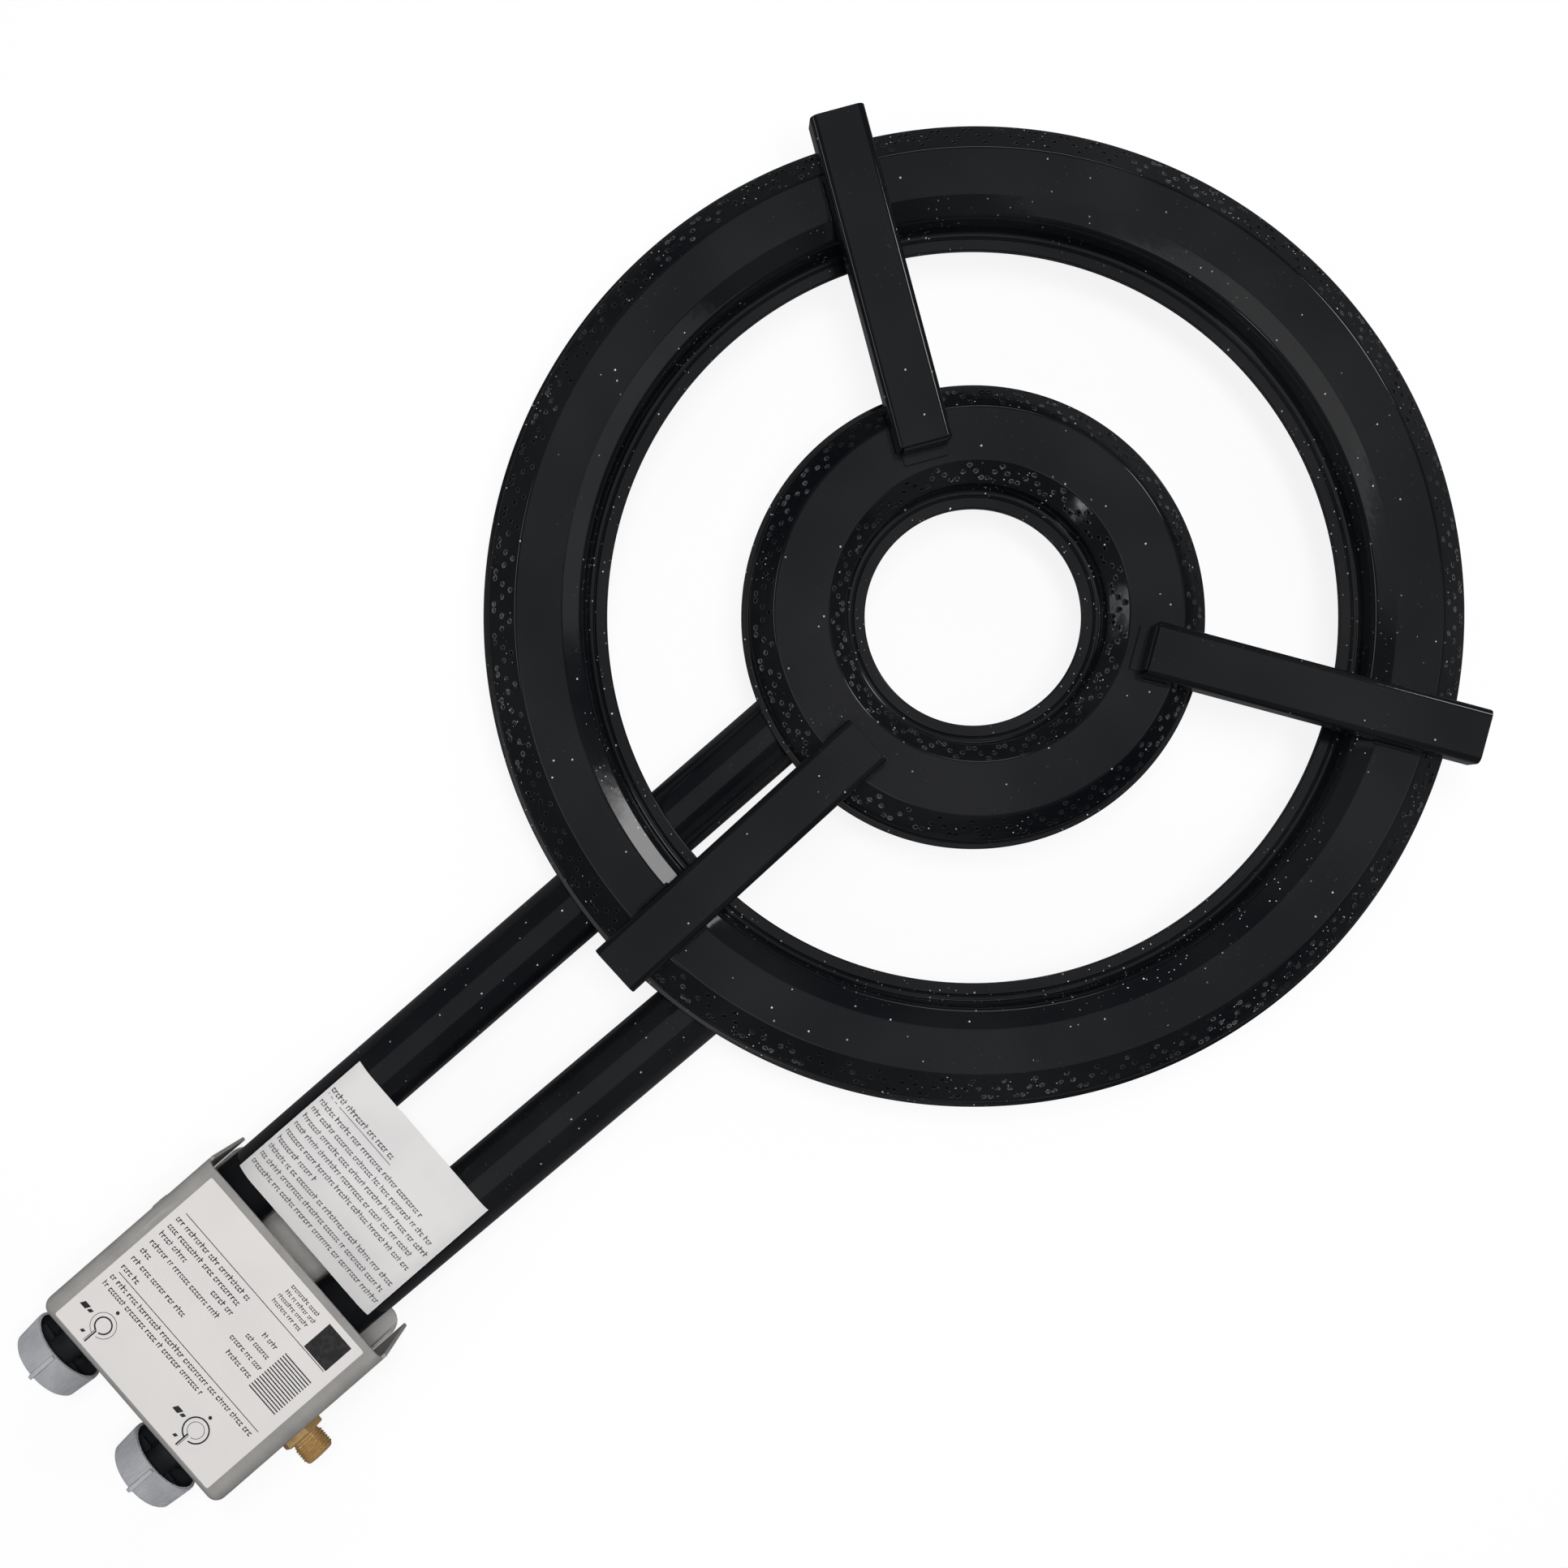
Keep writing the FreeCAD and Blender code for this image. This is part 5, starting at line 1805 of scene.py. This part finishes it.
@dataclass
class TapFront:
    """What shows of a tap: its threaded neck, the panel nut and the knob on its spindle."""

    tap: Tap
    across: float
    finishes: Finishes
    rear: float = 13.0
    front: float = 26.0
    rear_radius: float = 16.45
    front_radius: float = 15.2
    ribs: int = 84
    spokes: int = 6
    neck_radius: float = 6.45
    nut_width: float = 17.0

    @property
    def place(self) -> Matrix:
        """The tap's own frame: Z towards the front from the panel's outer face."""
        turn = Matrix.Rotation(math.radians(90), 4, "X")
        return Matrix.Translation((self.across, PANEL_Y, TUBE_HEIGHT)) @ turn

    def build(self) -> None:
        """Make the bonnet and the knob."""
        self.bonnet().move(self.place).piece(
            self.tap.value + "_threaded_bonnet", Body.FRAME, [self.finishes.brass], "brass",
            [self.tap.value + "_tap_bonnet"],
        )
        self.knob().move(self.place).piece(
            self.tap.value + "_ribbed_knob", self.tap.press_body,
            [self.finishes.grey_plastic, self.finishes.knob_hollow_dark], "grey_plastic",
            [self.tap.value + "_knob"], sharp=36.0,
        )

    def bonnet(self) -> Shape:
        """The square plate on the tap and the neck with its thread."""
        shape = Shape().block((-11, -11, -12), (11, 11, -1.6), 0.5)
        return shape.join(threaded_rod(self.neck_radius, -1.6, 6.0, 0.9, 0.4, 36))

    def nut(self) -> Shape:
        """The panel nut on the neck."""
        return hexagon_bar(self.nut_width, 0.02, 4.0).move(self.place)

    def knob(self) -> Shape:
        """The knob: ribbed side, rounded front, pointer rib, nib, hollow back with hub and spokes.

        Returns:
            The knob in the tap's own frame, its hollow back in the second finish.
        """
        rear, front = self.rear, self.front
        lip = self.rear_radius - 1.3
        hollow_front = front - 2.6
        shape = Shape().lathe(rounded([
            (0.0, front - 0.7, 0.0),
            (8.6, front - 0.7, 1.6),
            (9.8, front, 0.8),
            (self.front_radius, front, 1.9),
            (self.rear_radius - 0.15, rear + 0.9, 0.0),
            (self.rear_radius, rear + 0.7, 0.2),
            (self.rear_radius, rear, 0.3),
            (lip, rear, 0.3),
        ], 5), 144)
        shape.join(self._ribs())
        shape.lathe(rounded([
            (lip, rear, 0.0),
            (self.rear_radius - 1.8, rear + 1.0, 0.4),
            (self.front_radius - 2.0, hollow_front, 1.4),
            (6.2, hollow_front, 1.0),
            (5.8, 9.2, 0.4),
            (3.5, 9.2, 0.2),
            (3.4, 13.0, 0.0),
        ]), 72, finish=1)
        for number in range(self.spokes):
            spoke = Shape().block((5.4, -0.55, rear + 3.2), (13.4, 0.55, front - 2.4), 0.15, 1)
            shape.join(spoke.move(Matrix.Rotation(math.tau * number / self.spokes + 0.26, 4, "Z")))
        shape.block((-0.95, 14.0, rear + 0.3), (0.95, 17.55, front - 0.8), 0.4)
        return shape.block((-0.85, 9.2, front - 1.6), (0.85, 14.0, front + 1.5), 0.35)

    def _ribs(self) -> Shape:
        """The fine ribs along the knob's side, which lean in with its taper.

        Returns:
            The ribs, with a gap for the pointer rib.
        """
        shape = Shape()
        lean = (self.rear_radius - self.front_radius) / (self.front - self.rear)
        low = (self.rear_radius - 1.2, -0.3, self.rear + 1.0)
        high = (self.rear_radius + 0.15, 0.3, self.front - 1.0)
        pointer_turn, pointer_gap = math.pi / 2, 0.11
        for number in range(self.ribs):
            turn = math.tau * number / self.ribs
            if abs(math.remainder(turn - pointer_turn, math.tau)) < pointer_gap:
                continue
            rib = Shape().block(low, high, 0.18)
            for corner in rib.mesh.verts:
                corner.co.x -= lean * (corner.co.z - self.rear)
            shape.join(rib.move(Matrix.Rotation(turn, 4, "Z")))
        return shape


@dataclass
class ReturnSpring:
    """The coil spring of a tap."""

    tap: Tap
    finishes: Finishes
    wire: float = 0.9
    turns: int = 6
    steps: int = 24
    travel: float = 2.5

    def build(self) -> None:
        """Wind the spring into its node's place, from the plug towards the knob."""
        node = self.tap.value + "_return_spring"
        low, high = (Vector(corner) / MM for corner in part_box(node))
        length = high.y - low.y
        coil = (high.x - low.x - self.wire) / 2
        foot = Vector(((low.x + high.x) / 2, high.y, (low.z + high.z) / 2))
        forwards = Matrix.Rotation(math.radians(90), 4, "X")
        shape = Shape()
        section = Matrix.Translation((coil, 0, self.wire / 2)) @ forwards
        bmesh.ops.create_circle(shape.mesh, segments=10, radius=self.wire / 2, matrix=section)
        shape.spin(self.turns, self.turns * self.steps, length - self.wire)
        bmesh.ops.holes_fill(shape.mesh, edges=shape.open_edges)
        thing = shape.move(Matrix.Translation(foot) @ forwards).piece(
            self.tap.value + "_coil_spring", self.tap.turn_body, [self.finishes.steel], "zinc_steel", [node],
        )
        (length - self.travel) / length
        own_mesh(thing)


@dataclass
class GasInlet:
    """The brass inlet: neck, hexagon collar with a turned face, undercut and threaded stub."""

    finishes: Finishes
    wall_x: float = 66.4
    y: float = PANEL_Y + 33.8
    collar_width: float = 16.4
    collar_length: float = 4.5
    neck_radius: float = 5.9
    neck_length: float = 10.6
    bore: float = 3.7
    thread_radius: float = 6.58
    thread_length: float = 9.7
    thread_depth: float = 0.55
    pitch: float = 1.15

    def build(self) -> None:
        """Make the inlet."""
        collar = self.collar_length
        reach = collar + self.thread_length
        core = self.thread_radius - self.thread_depth
        thread_start = collar + 1.6
        shape = hexagon_bar(self.collar_width, 0.0, collar)
        shape.lathe([
            (0.0, -self.neck_length), (self.neck_radius, -self.neck_length),
            (self.neck_radius, 0.2), (0.0, 0.2),
        ], 48)
        shape.lathe(rounded([
            (core - 0.3, collar - 0.2, 0.0),
            (core - 0.3, collar + 1.2, 0.2),
            (core, thread_start, 0.2),
            (core, reach - 0.8, 0.2),
            (core - 0.6, reach, 0.2),
            (self.bore + 0.4, reach, 0.3),
            (self.bore, reach - 0.8, 0.2),
            (self.bore, collar, 0.2),
            (0.0, collar, 0.0),
        ]), 64)
        shape.join(thread_ridge(
            core - 0.08, self.thread_radius - 0.02, thread_start, reach - 0.5, self.pitch, 0.16, 64,
        ))
        turn = Matrix.Rotation(math.radians(90), 4, "Y")
        place = Matrix.Translation((self.wall_x, self.y, TUBE_HEIGHT)) @ turn
        shape.move(place).piece(
            "threaded_gas_inlet", Body.FRAME, [self.finishes.brass], "brass", ["gas_inlet"],
        )


# The studio


@dataclass(frozen=True)
class Lamp:
    """A soft box or a card round the burner, aimed at it."""

    name: str
    azimuth: float
    height: float
    distance: float
    watts: float
    size: Point
    mirrored: bool = False
    outline: str = "RECTANGLE"

    def build(self) -> None:
        """Make the lamp, which shows in gloss only where it is a mirrored one."""
        data = bpy.data.lights.new(self.name, "AREA")
        data.shape = self.outline
        data.size, data.size_y = self.size
        data.energy = self.watts
        lamp = bpy.data.objects.new(self.name, data)
        turn = math.radians(self.azimuth)
        lamp.location = (self.distance * math.cos(turn), self.distance * math.sin(turn), self.height)
        aim = Vector((0.0, 0.0, 0.03)) - lamp.location
        lamp.rotation_euler = aim.to_track_quat("-Z", "Y").to_euler()
        lamp.visible_glossy = self.mirrored
        bpy.context.scene.collection.objects.link(lamp)


@dataclass
class Studio:
    """A white floor, soft light and a camera straight above the burner."""

    camera_place: Corner = (0.0031, 0.0086, 0.750)
    camera_turn: float = 49.0
    lens: float = 42.18
    shift: float = 0.040
    white: tuple[float, float, float, float] = (1.0, 1.0, 1.0, 1.0)
    floor_shade: Colour = (0.86, 0.86, 0.86)
    mirrored_shade: Colour = (0.10, 0.10, 0.105)
    floor_glow: float = 0.86
    floor_drop: float = 0.0004
    world_light: float = 0.07

    def build(self) -> None:
        """Make the floor, the light and the camera."""
        self._floor()
        self._world()
        self._lamps()
        self._camera()

    def _camera(self) -> None:
        """The camera, at the photo's viewing angle."""
        data = bpy.data.cameras.new("camera")
        data.lens = self.lens
        data.sensor_width = 36.0
        data.shift_x = self.shift
        data.shift_y = self.shift
        data.clip_start = 0.01
        data.clip_end = 20.0
        camera = bpy.data.objects.new("camera", data)
        camera.location = self.camera_place
        camera.rotation_euler = (0.0, 0.0, math.radians(self.camera_turn))
        bpy.context.scene.collection.objects.link(camera)
        bpy.context.scene.camera = camera

    def _floor(self) -> None:
        """A floor that is white to the camera, keeps a soft shadow and is dark in mirrored rays."""
        graph = Graph("pale_floor")
        mirrored = graph.wire("ShaderNodeLightPath", output="Is Glossy Ray")
        shade = graph.blend(mirrored, self.floor_shade, self.mirrored_shade)
        surface = graph.wire("ShaderNodeBsdfDiffuse", None, {"Color": shade})
        glow = graph.wire("ShaderNodeEmission", None, {"Color": self.white, "Strength": 1.0})
        seen = graph.wire("ShaderNodeLightPath", output="Is Camera Ray") * self.floor_glow
        mixed = graph.wire("ShaderNodeMixShader", None, {0: seen, 1: surface, 2: glow})
        graph.node("ShaderNodeOutputMaterial", None, {"Surface": mixed})
        shape = Shape()
        place = Matrix.Translation((0, 0, -self.floor_drop))
        bmesh.ops.create_grid(shape.mesh, x_segments=1, y_segments=1, size=20.0, matrix=place)
        floor = shape.add_to_scene("floor", [graph.owner])

    def _world(self) -> None:
        """Even light from all round, white where the camera sees it."""
        graph = Graph("studio", world=True)
        seen = graph.wire("ShaderNodeLightPath", output="Is Camera Ray")
        light, backdrop = (
            graph.wire("ShaderNodeBackground", None, {"Color": self.white, "Strength": strength})
            for strength in (self.world_light, 1.0)
        )
        mixed = graph.wire("ShaderNodeMixShader", None, {0: seen, 1: light, 2: backdrop})
        graph.node("ShaderNodeOutputWorld", None, {"Surface": mixed})
        bpy.context.scene.world = graph.owner

    def _lamps(self) -> None:
        """Soft boxes that give light but aren't mirrored, and weak cards that the enamel mirrors."""
        oval = "ELLIPSE"
        for lamp in (
            Lamp("front", 268.0, 0.95, 1.60, 8.0, (1.5, 1.0)),
            Lamp("key", 128.0, 1.05, 1.55, 5.0, (1.0, 0.9)),
            Lamp("side", 30.0, 0.95, 1.60, 3.0, (0.8, 0.8)),
            Lamp("ceiling", 90.0, 1.60, 0.30, 1.8, (1.9, 1.9)),
            Lamp("camera_side", 90.0, 1.20, 0.15, 11.5, (0.6, 0.24)),
            Lamp("zenith_card", 90.0, 1.60, 0.12, 2.5, (1.9, 1.9), True),
            Lamp("front_card", 268.0, 1.15, 0.68, 1.0, (1.3, 0.40), True),
            Lamp("front_strip", 276.0, 0.62, 1.60, 0.6, (0.30, 0.16), True, oval),
            Lamp("right_card", 40.0, 1.05, 1.25, 0.65, (1.2, 0.5), True, oval),
            Lamp("left_card", 215.0, 0.55, 1.60, 1.2, (0.9, 0.25), True, oval),
            Lamp("top_card", 128.0, 0.55, 1.60, 1.2, (0.9, 0.25), True, oval),
            Lamp("rear_card", 87.0, 0.86, 1.25, 1.25, (0.27, 0.30), True, oval),
        ):
            lamp.build()


def soften(node: bpy.types.Object, width: float) -> None:
    """Round a CAD node's edges with a live bevel, which leaves its mesh alone.

    Args:
        node: The node.
        width: How far its edges are rounded.
    """
    weld = node.modifiers.new("join_corners", "WELD")
    weld.merge_threshold = 1e-6
    bevel = node.modifiers.new("round_edges", "BEVEL")
    bevel.width = width * MM
    bevel.segments = 2
    bevel.limit_method = "ANGLE"
    bevel.angle_limit = math.radians(50)


class Burner:
    """The whole burner."""

    def __init__(self, frame: dict) -> None:
        """Keep the frame and make the finishes.
        """
        self.nodes: dict[str, bpy.types.Object] = frame["nodes"]
        self.slots = {part["node"]: part["material_slot"] for part in frame["record"]["subparts"]}
        self.finishes = Finishes()

    def build(self) -> None:
        """Build every sub-assembly in order."""
        finishes = self.finishes
        self.dress()
        OuterRing("outer", 190.0, 142.0, [
            PortBand((176.4, 55.2), (186.2, 47.3), 94, 0.90),
        ], finishes).build()
        InnerRing("inner", 90.0, 42.0, [
            PortBand((78.3, 55.2), (86.2, 47.3), 41, 0.92),
            PortBand((56.6, 55.4), (50.6, 49.4), 28, 0.86),
        ], finishes).build()
        for side, angle, shift in (("right", 34.0, 1.8), ("left", 154.0, 4.9), ("handle", 271.4, 7.3)):
            SupportArm(side, angle, shift, finishes).build()
        MixingTube(Tap.INNER, -17.4, 320.3, 0.0, finishes).build()
        MixingTube(Tap.OUTER, 40.8, 224.3, 0.01516, finishes).build()
        Housing(finishes).build()
        ControlLabel(finishes).build()
        InstructionSheet(finishes).build()
        fronts = [TapFront(Tap.INNER, -17.4, finishes), TapFront(Tap.OUTER, 40.8, finishes)]
        for front in fronts:
            front.build()
            ReturnSpring(front.tap, finishes).build()
        nuts = fronts[0].nut().join(fronts[1].nut())
        nuts.piece("chamfered_panel_nuts", Body.FRAME, [finishes.brass], "brass", ["panel_nuts"])
        GasInlet(finishes).build()

    def dress(self) -> None:
        """Give the CAD nodes that stay in sight or inside their finishes."""
        finishes = {
            "brass": self.finishes.brass,
            "zinc_steel": self.finishes.steel,
            "drawn_aluminium": self.finishes.aluminium,
            "dark_enamel": self.finishes.enamel,
            "grey_paint": self.finishes.paint,
            "grey_plastic": self.finishes.grey_plastic,
            "white_paper": self.finishes.paper,
        }
        for name, node in self.nodes.items():
            for slot in node.material_slots:
                slot.material = finishes[self.slots[name]]
        cradle = self.nodes["tube_cradle"]
        cradle.material_slots[0].material = self.finishes.steel
        soften(cradle, 0.3)


def main() -> None:
    """Load the frame and build the burner and the studio."""
    logging.basicConfig(level=logging.INFO, format="%(message)s")
    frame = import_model()
    bpy.context.scene.view_settings.view_transform = "Standard"
    Burner(frame).build()
    Studio().build()


if __name__ == "__main__":
    main()
